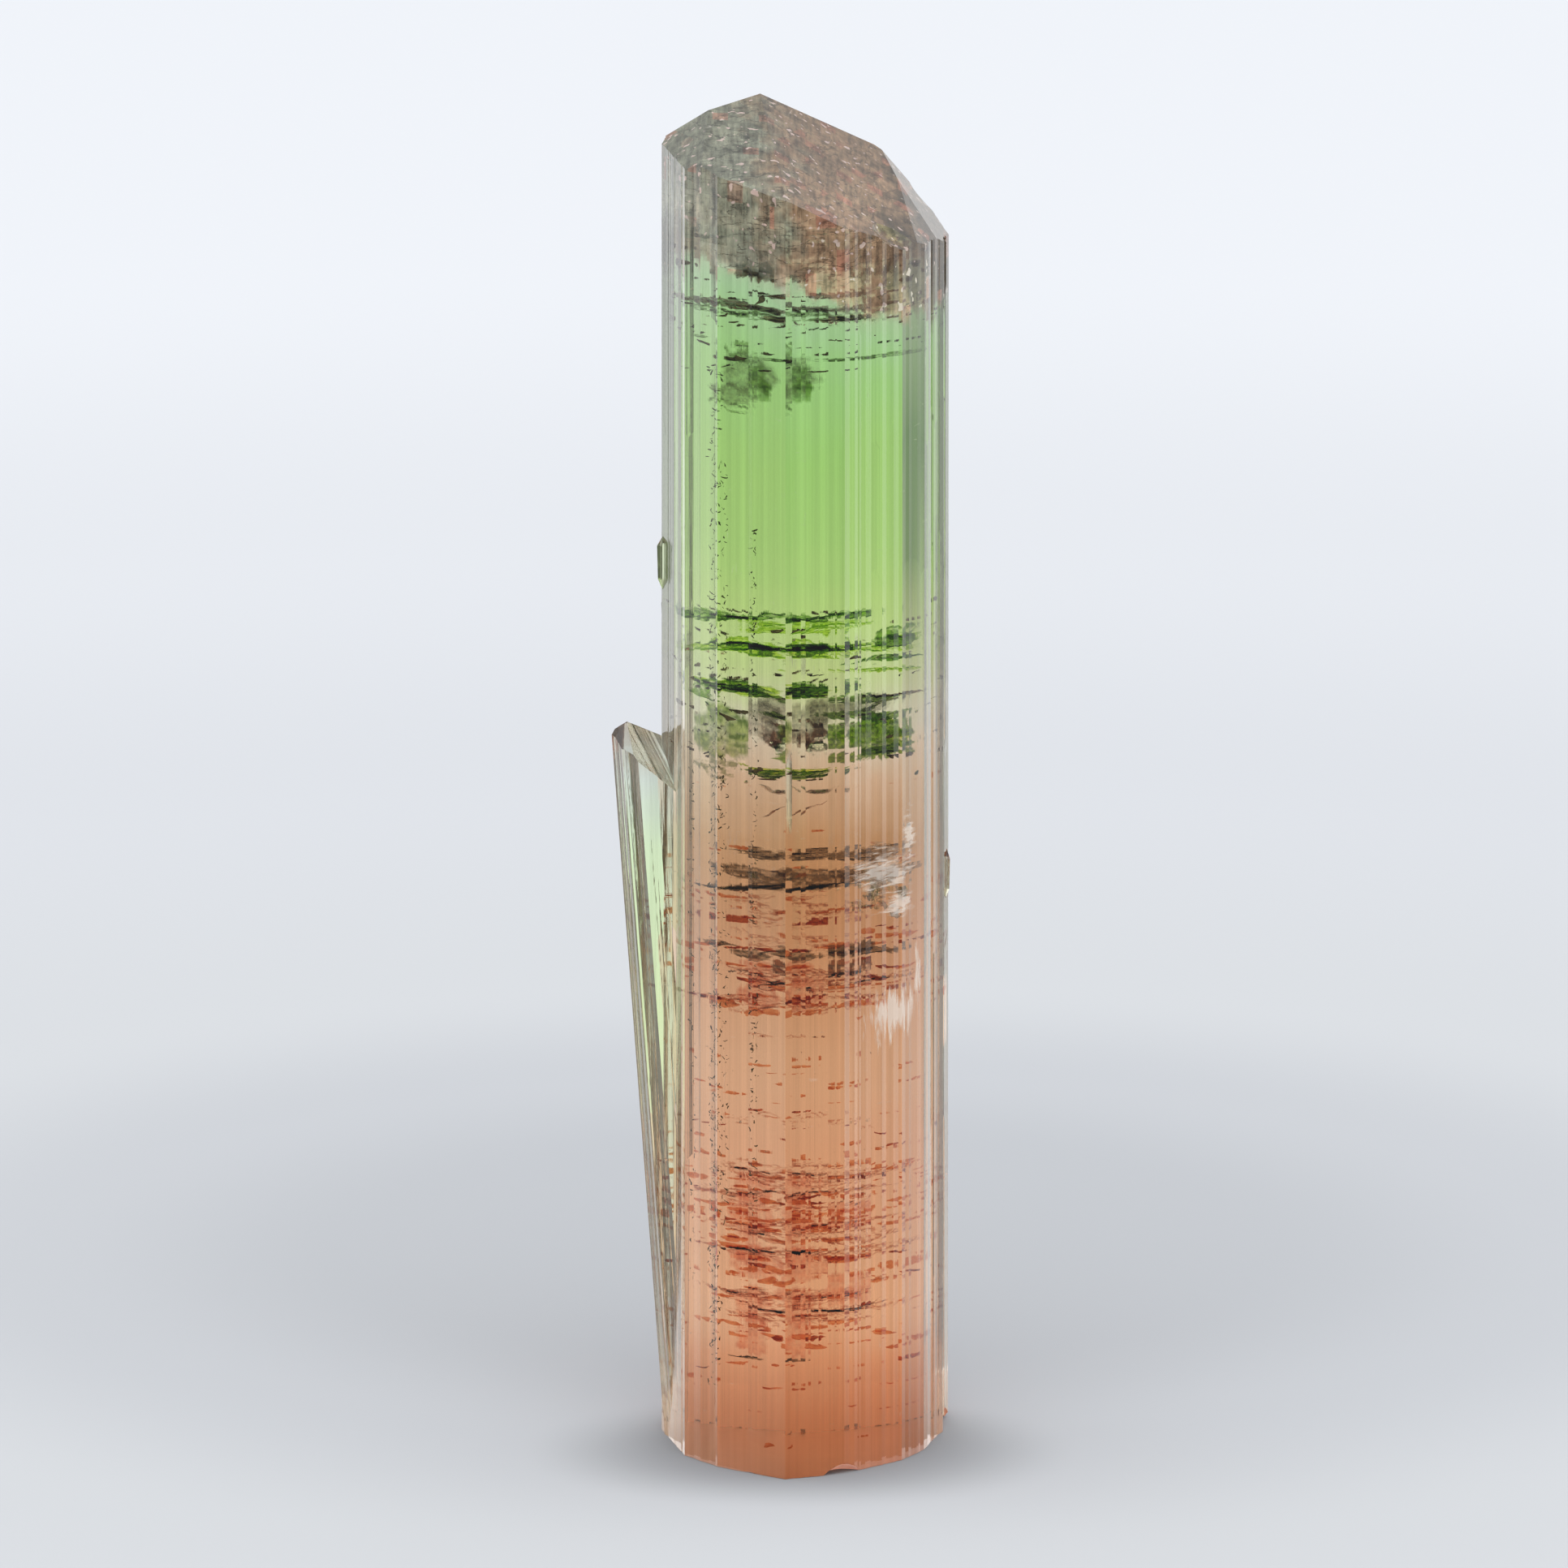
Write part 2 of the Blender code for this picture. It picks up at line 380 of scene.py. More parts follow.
def from_photo(px: float, py: float, y: float) -> Vector:
    """The place inside the crystal that shows at a pixel of the photograph.

    Args:
        px: the pixel's column.
        py: the pixel's row.
        y: how far back the place lies, in mm.

    Returns:
        The place, in mm.
    """
    rise = math.radians(CAMERA_RISE)
    sight = Vector((0.0, math.cos(rise), -math.sin(rise)))
    spot, normal = front_face((px - PX_MIDDLE) * PX_MM)
    spot.z = (PX_BASE - py) * PX_MM / math.cos(rise) - (spot.y - FRONT_EDGE_Y) * math.tan(rise)
    cosine = -normal.dot(sight)
    bent = math.sqrt(1.0 - (1.0 - cosine * cosine) / TOURMALINE_IOR**2)
    inside = sight / TOURMALINE_IOR + normal * (cosine / TOURMALINE_IOR - bent)
    return spot + inside * ((y - spot.y) / inside.y)


def main_planes() -> list[tuple[Vector, float]]:
    """The main prism's faces at mid height, its crown and its base as planes.

    Returns:
        The outward normal and the distance from the origin of each, in mm.
    """
    planes = []
    corners = [Vector((x, y, 0.0)) * grown(CRYSTAL_HEIGHT / 2) for x, y, _, _ in MAIN_SECTION]
    for start, end in zip(corners, corners[1:] + corners[:1]):
        normal = Vector((end.y - start.y, start.x - end.x, 0.0)).normalized()
        planes.append((normal, normal.dot(start)))
    for point, facing, slope in MAIN_CROWN:
        normal = slope_normal(facing, slope)
        planes.append((normal, normal.dot(Vector(point))))
    planes.append((Vector((0.0, 0.0, -1.0)), 0.0))
    return planes


def finished(name: str, bm: bmesh.types.BMesh, *materials: bpy.types.Material) -> bpy.types.Object:
    """Turns a bmesh in millimetres into an object in metres.

    Args:
        name: the object's name.
        bm: the mesh, which is used up.
        materials: its materials, in slot order.

    Returns:
        The object, in the scene, at the origin.
    """
    bmesh.ops.scale(bm, vec=(MM, MM, MM), verts=bm.verts)
    mesh = bpy.data.meshes.new(name)
    bm.to_mesh(mesh)
    bm.free()
    for material in materials:
        mesh.materials.append(material)
    obj = bpy.data.objects.new(name, mesh)
    bpy.context.scene.collection.objects.link(obj)
    return obj


def cut_flat(bm: bmesh.types.BMesh, point: tuple[float, float, float], normal: Vector) -> None:
    """Cuts away what lies beyond a plane and closes the cut with one flat face.

    Args:
        bm: the mesh.
        point: a point on the plane.
        normal: the way the plane faces, towards what goes.
    """
    cut = bmesh.ops.bisect_plane(
        bm,
        geom=bm.verts[:] + bm.edges[:] + bm.faces[:],
        plane_co=Vector(point),
        plane_no=normal,
        clear_outer=True,
    )
    rim = [item for item in cut["geom_cut"] if isinstance(item, bmesh.types.BMEdge)]
    bmesh.ops.holes_fill(bm, edges=rim, sides=0)


def applied(obj: bpy.types.Object) -> bpy.types.Mesh:
    """Applies the object's modifiers and removes them.

    Args:
        obj: the object.

    Returns:
        Its plain mesh.
    """
    graph = bpy.context.evaluated_depsgraph_get()
    mesh = bpy.data.meshes.new_from_object(obj.evaluated_get(graph))
    obj.modifiers.clear()
    obj.data = mesh
    return mesh


def hand_over(piece: bpy.types.Object, *nodes: str) -> None:
    """Puts a finished piece on the crystal's body.

    Args:
        piece: the piece.
        nodes: the solid's nodes that it replaces.
    """
    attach(piece, "root")
    if nodes:
        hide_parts(*nodes)
    LOG.info("%s: %d faces", piece.name, len(piece.data.polygons))


@dataclass(frozen=True)
class TourmalineFinish:
    """Tourmaline, a clear boron silicate: glassy grown faces, tinted in bands as the
    solution round the crystal changed, with fine lines along its length."""

    name: str = "grown_tourmaline"
    roughness: float = 0.015
    # The share of light that passes in the gem part and in the crown's painted reflection
    clear: float = 1.0
    painted_crown: float = 0.55
    break_tint: str = "cc7048"
    break_dark: str = "a04c2c"
    # The crown's painted reflection: grey-green, brown, dark edge, rosy flush, painted highlights
    crown_paint_left: str = "989c88"
    crown_paint_right: str = "a4866a"
    crown_paint_edge: str = "544636"
    crown_paint_flush: str = "b87864"
    crown_paint_highlight: str = "f6dcd4"
    # Chipped skin on the right: centre, half width and half height, in mm. Scars are
    # frosted and torn along the length; shells are glassy, with level ripples, and their
    # pale tint is a painted silvery reflection
    scars: tuple[tuple[tuple[float, float, float], float, float], ...] = (
        ((5.1, -5.0, 27.2), 2.6, 2.0),
        ((6.6, -2.9, 28.8), 0.5, 2.6),
        ((-2.9, 7.6, 47.0), 1.6, 1.4),
    )
    shells: tuple[tuple[tuple[float, float, float], float, float], ...] = (
        ((4.5, -5.4, 35.7), 3.0, 1.6),
        ((6.2, -3.8, 37.4), 1.0, 1.8),
        ((5.5, -4.6, 33.6), 1.7, 1.0),
    )
    frost_and_painted_sheen_tint: str = "f2eae2"
    scar_roughness: float = 0.3
    # Heights in mm and the body's tint there: coral root, salmon, green, aqua, and a smoky
    # crown that is a painted reflection of the body below
    bands: tuple[tuple[float, str], ...] = (
        (0.0, "f08c5c"),
        (4.0, "f49868"),
        (7.0, "eeac80"),
        (10.0, "e2a47a"),
        (17.0, "dc9e78"),
        (23.0, "daa57f"),
        (30.0, "c68c65"),
        (36.0, "b88458"),
        (39.0, "cca27e"),
        (41.5, "d8b496"),
        (43.5, "d6ccb4"),
        (46.5, "c8d694"),
        (50.0, "bcd882"),
        (54.0, "add37a"),
        (60.0, "a7d277"),
        (65.0, "a3d282"),
        (68.5, "acd0a0"),
        (71.0, "b8c0a4"),
        (74.0, "a89f8a"),
        (80.0, "ac9580"),
    )
    # How far the borders under the crown slope, in mm a mm
    crown_skew: float = 0.45
    # The heights in mm between which the crown's painted reflection sets in, and those
    # between which it is painted darker
    crown_paint_foot: tuple[float, float] = (70.3, 71.5)
    crown_paint_shade: tuple[float, float] = (74.6, 76.4)
    # Absorption along a path: a faint warm grey, per metre
    absorbed: str = "d8d8c8"
    density: float = 22.0

    def crown_reflection_paint(
        self,
        tree: bpy.types.NodeTree,
        mm: bpy.types.NodeSocket,
        split: bpy.types.Node,
        height: bpy.types.NodeSocket,
        body: bpy.types.NodeSocket,
    ) -> tuple[bpy.types.NodeSocket, bpy.types.NodeSocket]:
        """The crown's painted reflection of the body below, seen down the crystal's length:
        brown to the right, grey-green to the left, in blocks and brushed streaks, with hair
        cracks and painted highlights as bright specks.

        Args:
            tree: the material's tree.
            mm: the place in mm.
            split: the node that gives its three parts.
            height: the height in the bands, in mm.
            body: the colour of the body below.

        Returns:
            The whole colour and the transmission weight.
        """
        drift = mottled(tree, mm, 0.5, 4.0)
        place = worked(tree, "MULTIPLY_ADD", drift, 9.0, split.outputs["X"])
        # From left to right over 18 mm: grey-green, brown and a darker brown
        right = ranged(tree, place, (-4.0, 14.0))
        sweep = add(tree, "ShaderNodeValToRGB", {"Fac": right})
        set_ramp(
            sweep,
            (
                (0.30, linear(self.crown_paint_left)),
                (0.47, linear(self.crown_paint_right)),
                (0.68, linear(self.crown_paint_right)),
                (0.82, linear(self.crown_paint_edge)),
            ),
        )
        tip = ranged(tree, height, (77.4, 78.8))
        hue = blended(tree, tip, sweep.outputs["Color"], linear(self.crown_paint_right))
        # Blocks of painted light and shade, as the striae break the reflection up, and
        # streaks brushed along the length
        cells = add(tree, "ShaderNodeVectorMath", {0: mm, 1: (0.9, 0.9, 1.3)}, operation="SNAP")
        block = add(tree, "ShaderNodeTexWhiteNoise", {"Vector": cells.outputs["Vector"]})
        brush_place = stretched(tree, mm, (5.0, 0.6, 0.5))
        brush = mottled(tree, brush_place, 1.0, 3.0)
        mottle = mottled(tree, mm, 1.1, 6.0, roughness=0.7)
        shade = worked(tree, "MULTIPLY_ADD", block.outputs["Value"], 0.22, brush)
        shade = worked(tree, "MULTIPLY_ADD", mottle, 1.3, shade)
        bright = ranged(tree, shade, (0.95, 1.6), (0.38, 1.7))
        # Painted shade: the crown's own faces are painted darker than the prism's faces below them
        upper = ranged(tree, split.outputs["Z"], self.crown_paint_shade, (1.2, 0.84))
        # Hair cracks lie nearly level
        hair_place = stretched(tree, mm, (0.3, 0.3, 1.5), (0.0, 0.1, 0.0))
        hair = mottled(tree, hair_place, 1.0, 5.0)
        off = worked(tree, "SUBTRACT", hair, 0.52)
        gap = worked(tree, "ABSOLUTE", off)
        line = ranged(tree, gap, (0.004, 0.014), (0.42, 1.0))
        cracked = worked(tree, "MULTIPLY", bright, line)
        dimmed = worked(tree, "MULTIPLY", cracked, upper)
        patch = mottled(tree, cells.outputs["Vector"], 0.8, 2.0)
        rosy = ranged(tree, patch, (0.6, 0.63), (0.0, 0.6))
        flushed = blended(tree, rosy, hue, linear(self.crown_paint_flush))
        shaded = add(tree, "ShaderNodeVectorMath", {0: flushed, "Scale": dimmed}, operation="SCALE")
        # Painted highlights: sparse bright pink-white specks on the crown
        speck = mottled(tree, mm, 1.9, 1.5)
        glint = ranged(tree, speck, (0.66, 0.69), (0.0, 0.9))
        painted_highlights = blended(tree, glint, shaded.outputs["Vector"], linear(self.crown_paint_highlight))
        jagged = worked(tree, "MULTIPLY_ADD", block.outputs["Value"], 1.3, height)
        painted_reflection = ranged(tree, jagged, self.crown_paint_foot, interpolation_type="SMOOTHSTEP")
        colour = blended(tree, painted_reflection, body, painted_highlights)
        clear = ranged(tree, painted_reflection, (0.0, 1.0), (self.clear, self.painted_crown))
        return colour, clear

    def material(self) -> bpy.types.Material:
        """Builds the material.

        Returns:
            The material, which reads Object coordinates and the face attributes.
        """
        material, mm = started(self.name)
        tree = material.node_tree
        split = add(tree, "ShaderNodeSeparateXYZ", {"Vector": mm})
        # The bands' borders are ragged, by a millimetre or so, and slope under the crown
        ragged = mottled(tree, mm, 0.28, 5.0, roughness=0.6)
        shift = worked(tree, "SUBTRACT", ragged, 0.5)
        skew = ranged(tree, split.outputs["Z"], (62.0, 70.0), (0.0, self.crown_skew))
        level = worked(tree, "MULTIPLY_ADD", skew, split.outputs["X"], split.outputs["Z"])
        height = worked(tree, "MULTIPLY_ADD", shift, 5.0, level)
        share = worked(tree, "DIVIDE", height, CRYSTAL_HEIGHT)
        ramp = add(tree, "ShaderNodeValToRGB", {"Fac": share})
        set_ramp(ramp, tuple((z / CRYSTAL_HEIGHT, linear(code)) for z, code in self.bands))
        # Growth-sector tints, with painted shade on face 2 and painted reflections on faces 3, 4
        # and 11
        sector = add(tree, "ShaderNodeAttribute", attribute_name="face_tint_and_painted_shade")
        tinted = blended(
            tree,
            sector.outputs["Alpha"],
            ramp.outputs["Color"],
            sector.outputs["Color"],
        )
        side = add(tree, "ShaderNodeAttribute", attribute_name="side_growth")
        side_ramp = add(tree, "ShaderNodeValToRGB", {"Fac": share})
        set_ramp(
            side_ramp,
            (
                (0.0, linear("e8dcbc")),
                (0.16, linear("e8e8c4")),
                (0.33, linear("e0f0bc")),
                (0.45, linear("dcf0c8")),
                (0.505, linear("d2dbd2")),
                (0.54, linear("b9a893")),
            ),
        )
        whole = blended(tree, side.outputs["Fac"], tinted, side_ramp.outputs["Color"])
        # Striae finer than the modelled ones, about 0.09 mm apart
        stretch = stretched(tree, mm, (11.0, 11.0, 0.05))
        striae = mottled(tree, stretch, 1.0, 2.0)
        # Broader sets of them are painted as darker and paler lines: painted shade and light
        sets = stretched(tree, mm, (2.6, 2.6, 0.012))
        lines = mottled(tree, sets, 1.0, 4.0, roughness=0.7)
        painted_striae_shade = ranged(tree, lines, (0.32, 0.68), (0.8, 1.12))
        lined = add(tree, "ShaderNodeVectorMath", {0: whole, "Scale": painted_striae_shade}, operation="SCALE")
        painted_crown = self.crown_reflection_paint(tree, mm, split, height, lined.outputs["Vector"])
        scars = self.scar_mask(tree, mm, self.scars, (3.4, 3.4, 0.6))
        # The shells' pale tint is a painted reflection; the scars' pale tint is frost
        shells = self.scar_mask(tree, mm, self.shells, (0.8, 0.8, 4.2))
        scarred = worked(tree, "MAXIMUM", scars, shells)
        frosted = blended(tree, scarred, painted_crown[0], linear(self.frost_and_painted_sheen_tint))
        dulled = worked(tree, "MULTIPLY_ADD", scarred, -0.6, painted_crown[1])
        gloss = ranged(tree, scars, (0.0, 1.0), (self.roughness, self.scar_roughness))
        raised = worked(tree, "MULTIPLY_ADD", scarred, 4.0, striae)
        relief = add(
            tree,
            "ShaderNodeBump",
            {"Height": raised, "Strength": 0.3, "Distance": 0.012 * MM},
        )
        shader = add(
            tree,
            "ShaderNodeBsdfPrincipled",
            {
                "Base Color": frosted,
                "Roughness": gloss,
                "IOR": TOURMALINE_IOR,
                "Transmission Weight": dulled,
                "Normal": relief.outputs["Normal"],
            },
        )
        absorption = add(
            tree,
            "ShaderNodeVolumeAbsorption",
            {"Color": linear(self.absorbed), "Density": self.density},
        )
        add(
            tree,
            "ShaderNodeOutputMaterial",
            {"Surface": shader.outputs["BSDF"], "Volume": absorption.outputs["Volume"]},
        )
        return material

    def scar_mask(
        self,
        tree: bpy.types.NodeTree,
        mm: bpy.types.NodeSocket,
        places: tuple[tuple[tuple[float, float, float], float, float], ...],
        grain: tuple[float, float, float],
    ) -> bpy.types.NodeSocket:
        """How far each spot is chipped: ragged patches at some places.

        Args:
            tree: the material's tree.
            mm: the spot in mm.
            places: centre, half width and half height of each patch.
            grain: how fine its strokes are along each axis, per mm.

        Returns:
            The share, from 0 to 1.
        """
        strokes = stretched(tree, mm, grain)
        torn = mottled(tree, strokes, 1.0, 5.0, distortion=0.6)
        most = None
        for centre, wide, high in places:
            off = add(tree, "ShaderNodeVectorMath", {0: mm, 1: centre}, operation="SUBTRACT")
            scaled = add(
                tree,
                "ShaderNodeVectorMath",
                {0: off.outputs["Vector"], 1: (1 / wide, 1 / wide, 1 / high)},
                operation="MULTIPLY",
            )
            far = add(
                tree,
                "ShaderNodeVectorMath",
                {0: scaled.outputs["Vector"]},
                operation="LENGTH",
            )
            near = ranged(tree, far.outputs["Value"], (0.2, 1.3), (0.46, 0.0))
            most = near if most is None else worked(tree, "MAXIMUM", most, near)
        raised = worked(tree, "ADD", most, torn)
        return ranged(tree, raised, (0.7, 0.92), (0.0, 0.85))

    def break_material(self) -> bpy.types.Material:
        """The broken base: a frosted, coral fracture that softly passes light from below.

        Returns:
            The material.
        """
        material, mm = started("frosted_break")
        tree = material.node_tree
        grain = mottled(tree, mm, 0.7, 5.0)
        colour = add(tree, "ShaderNodeValToRGB", {"Fac": grain})
        set_ramp(colour, ((0.35, linear(self.break_dark)), (0.65, linear(self.break_tint))))
        shader = add(
            tree,
            "ShaderNodeBsdfPrincipled",
            {
                "Base Color": colour.outputs["Color"],
                "Roughness": 0.5,
                "IOR": TOURMALINE_IOR,
                "Transmission Weight": 1.0,
            },
        )
        add(tree, "ShaderNodeOutputMaterial", {"Surface": shader.outputs["BSDF"]})
        return material


class Look(Enum):
    """How a crack's lining treats light: dyes what passes, mirrors it or scatters it."""

    DYE = 1
    MIRROR = 2
    SCATTER = 3


@dataclass(frozen=True)
class FilmFinish:
    """What lines a crack inside the crystal: a stain, a healed skin, trapped air, and in many
    cracks painted shade and reflection.
    """

    name: str
    look: Look
    light: str
    dark: str
    roughness: float
    # Share of the sheet that is lined, and how strongly it is
    cover: float = 0.6
    strength: float = 0.9
    # The size of its patches in mm, how sharp their borders are and their relief in mm
    patch_mm: float = 2.0
    softness: float = 0.06
    relief_mm: float = 0.1

    def material(self) -> bpy.types.Material:
        """Builds the material, whose ragged patches follow Object coordinates.

        Returns:
            The material.
        """
        material, mm = started(self.name)
        tree = material.node_tree
        patches = mottled(tree, mm, 1.0 / self.patch_mm, 6.0, roughness=0.62)
        edge = add(tree, "ShaderNodeAttribute", attribute_name="rim")
        level = worked(tree, "ADD", patches, edge.outputs["Fac"])
        bare = 1.5 - self.cover
        lined = ranged(
            tree,
            level,
            (bare - self.softness, bare + self.softness),
            (0.0, self.strength),
        )
        grain = mottled(tree, mm, 2.6 / self.patch_mm, 4.0)
        colour = add(tree, "ShaderNodeValToRGB", {"Fac": grain})
        set_ramp(colour, ((0.35, linear(self.dark)), (0.65, linear(self.light))))
        relief = add(
            tree,
            "ShaderNodeBump",
            {"Height": grain, "Strength": 0.7, "Distance": self.relief_mm * MM},
        )
        sockets = {"Roughness": self.roughness, "Normal": relief.outputs["Normal"]}
        if self.look is Look.DYE:
            dyed = blended(tree, lined, grey(1.0), colour.outputs["Color"])
            sockets |= {"Base Color": dyed, "Transmission Weight": 1.0, "IOR": 1.0}
        else:
            metal = 1.0 if self.look is Look.MIRROR else 0.0
            sockets |= {
                "Base Color": colour.outputs["Color"],
                "Metallic": metal,
                "Alpha": lined,
            }
        shader = add(tree, "ShaderNodeBsdfPrincipled", sockets)
        add(tree, "ShaderNodeOutputMaterial", {"Surface": shader.outputs["BSDF"]})
        return material


class Film(Enum):
    """The linings that cracks have in this crystal, many of them painted shade and reflection."""

    # A soft green haze in the cracks, thin like moss under water; its green is painted shade
    SOFT_GREEN_SHADE = FilmFinish(
        "soft_green_painted_shade",
        Look.DYE,
        "b8cc88",
        "5c7c2c",
        0.1,
        cover=0.64,
        strength=0.95,
        patch_mm=1.0,
        softness=0.2,
    )
    # An old crack's lining that dyes what passes a deep, mossy green: painted shade, the dark
    # of the crack's reflections
    GREEN_SHADE = FilmFinish(
        "green_crack_painted_shade",
        Look.DYE,
        "94c034",
        "406808",
        0.1,
        cover=0.55,
        patch_mm=1.2,
    )
    # A thinner, greyer lining above the green, also painted shade
    PALE_GREEN_SHADE = FilmFinish(
        "grey_green_crack_painted_shade",
        Look.DYE,
        "b0bc90",
        "647048",
        0.1,
        cover=0.5,
        strength=0.8,
        patch_mm=0.7,
    )
    # Where the painted shade is darkest
    DEEP_GREEN_SHADE = FilmFinish(
        "deep_green_painted_shade",
        Look.DYE,
        "90b830",
        "385c0c",
        0.1,
        cover=0.66,
        patch_mm=0.8,
    )
    # Bright yellow-green films in the same cracks: painted glints
    YELLOW_GLINT = FilmFinish(
        "lime_painted_glint",
        Look.DYE,
        "e4f47c",
        "8cb420",
        0.1,
        cover=0.56,
        strength=1.0,
        patch_mm=0.8,
    )
    # Iron stain: a brown to black-brown skin
    RUST = FilmFinish(
        "iron_stain_film",
        Look.DYE,
        "9a6a4a",
        "3a261a",
        0.15,
        cover=0.56,
        patch_mm=1.5,
    )
    # Painted shade: a grey-brown film in the cracks that only dims what is behind it
    SMOKE = FilmFinish(
        "thin_painted_shade_film",
        Look.DYE,
        "94805c",
        "3c3824",
        0.1,
        cover=0.6,
        strength=0.9,
        patch_mm=0.8,
        softness=0.12,
    )
    # Fine grey needles in an old crack, like a hatching
    HATCH = FilmFinish(
        "grey_needle_film",
        Look.DYE,
        "b0a89c",
        "5c5850",
        0.1,
        cover=0.62,
        strength=0.85,
        patch_mm=0.6,
        softness=0.3,
    )
    # Soft clouds of fluid pores in the salmon part, their red-brown a painted reflection:
    # the colour light picks up in the body after it reflects off them
    BLUSH = FilmFinish(
        "pore_haze_painted_reflection",
        Look.DYE,
        "f4ac88",
        "cc6c48",
        0.1,
        cover=0.54,
        strength=0.6,
        patch_mm=0.9,
        softness=0.16,
    )
    # Air in an open crack reflects all the light that grazes it, like a mirror
    AIR = FilmFinish(
        "open_air_crack",
        Look.MIRROR,
        "ffffff",
        "eef2f0",
        0.05,
        cover=0.5,
        patch_mm=1.3,
        relief_mm=0.4,
    )
    # Its crumpled parts throw light about and look white
    WHITE_AIR = FilmFinish(
        "white_open_crack",
        Look.SCATTER,
        "ffffff",
        "e4e8e4",
        0.3,
        cover=0.46,
        patch_mm=0.6,
    )
    # Brown sheets under the crown: a painted reflection of the body below
    BROWN_REFLECTION = FilmFinish(
        "brown_painted_reflection",
        Look.SCATTER,
        "c8a88e",
        "7a6450",
        0.6,
        cover=0.52,
        strength=0.75,
        patch_mm=1.2,
    )
    # Skins of healed cracks in the pink part, their red-brown a painted reflection
    ROSE = FilmFinish(
        "healed_crack_painted_reflection",
        Look.DYE,
        "e0a074",
        "a0502c",
        0.1,
        cover=0.46,
        strength=0.65,
        patch_mm=0.6,
    )


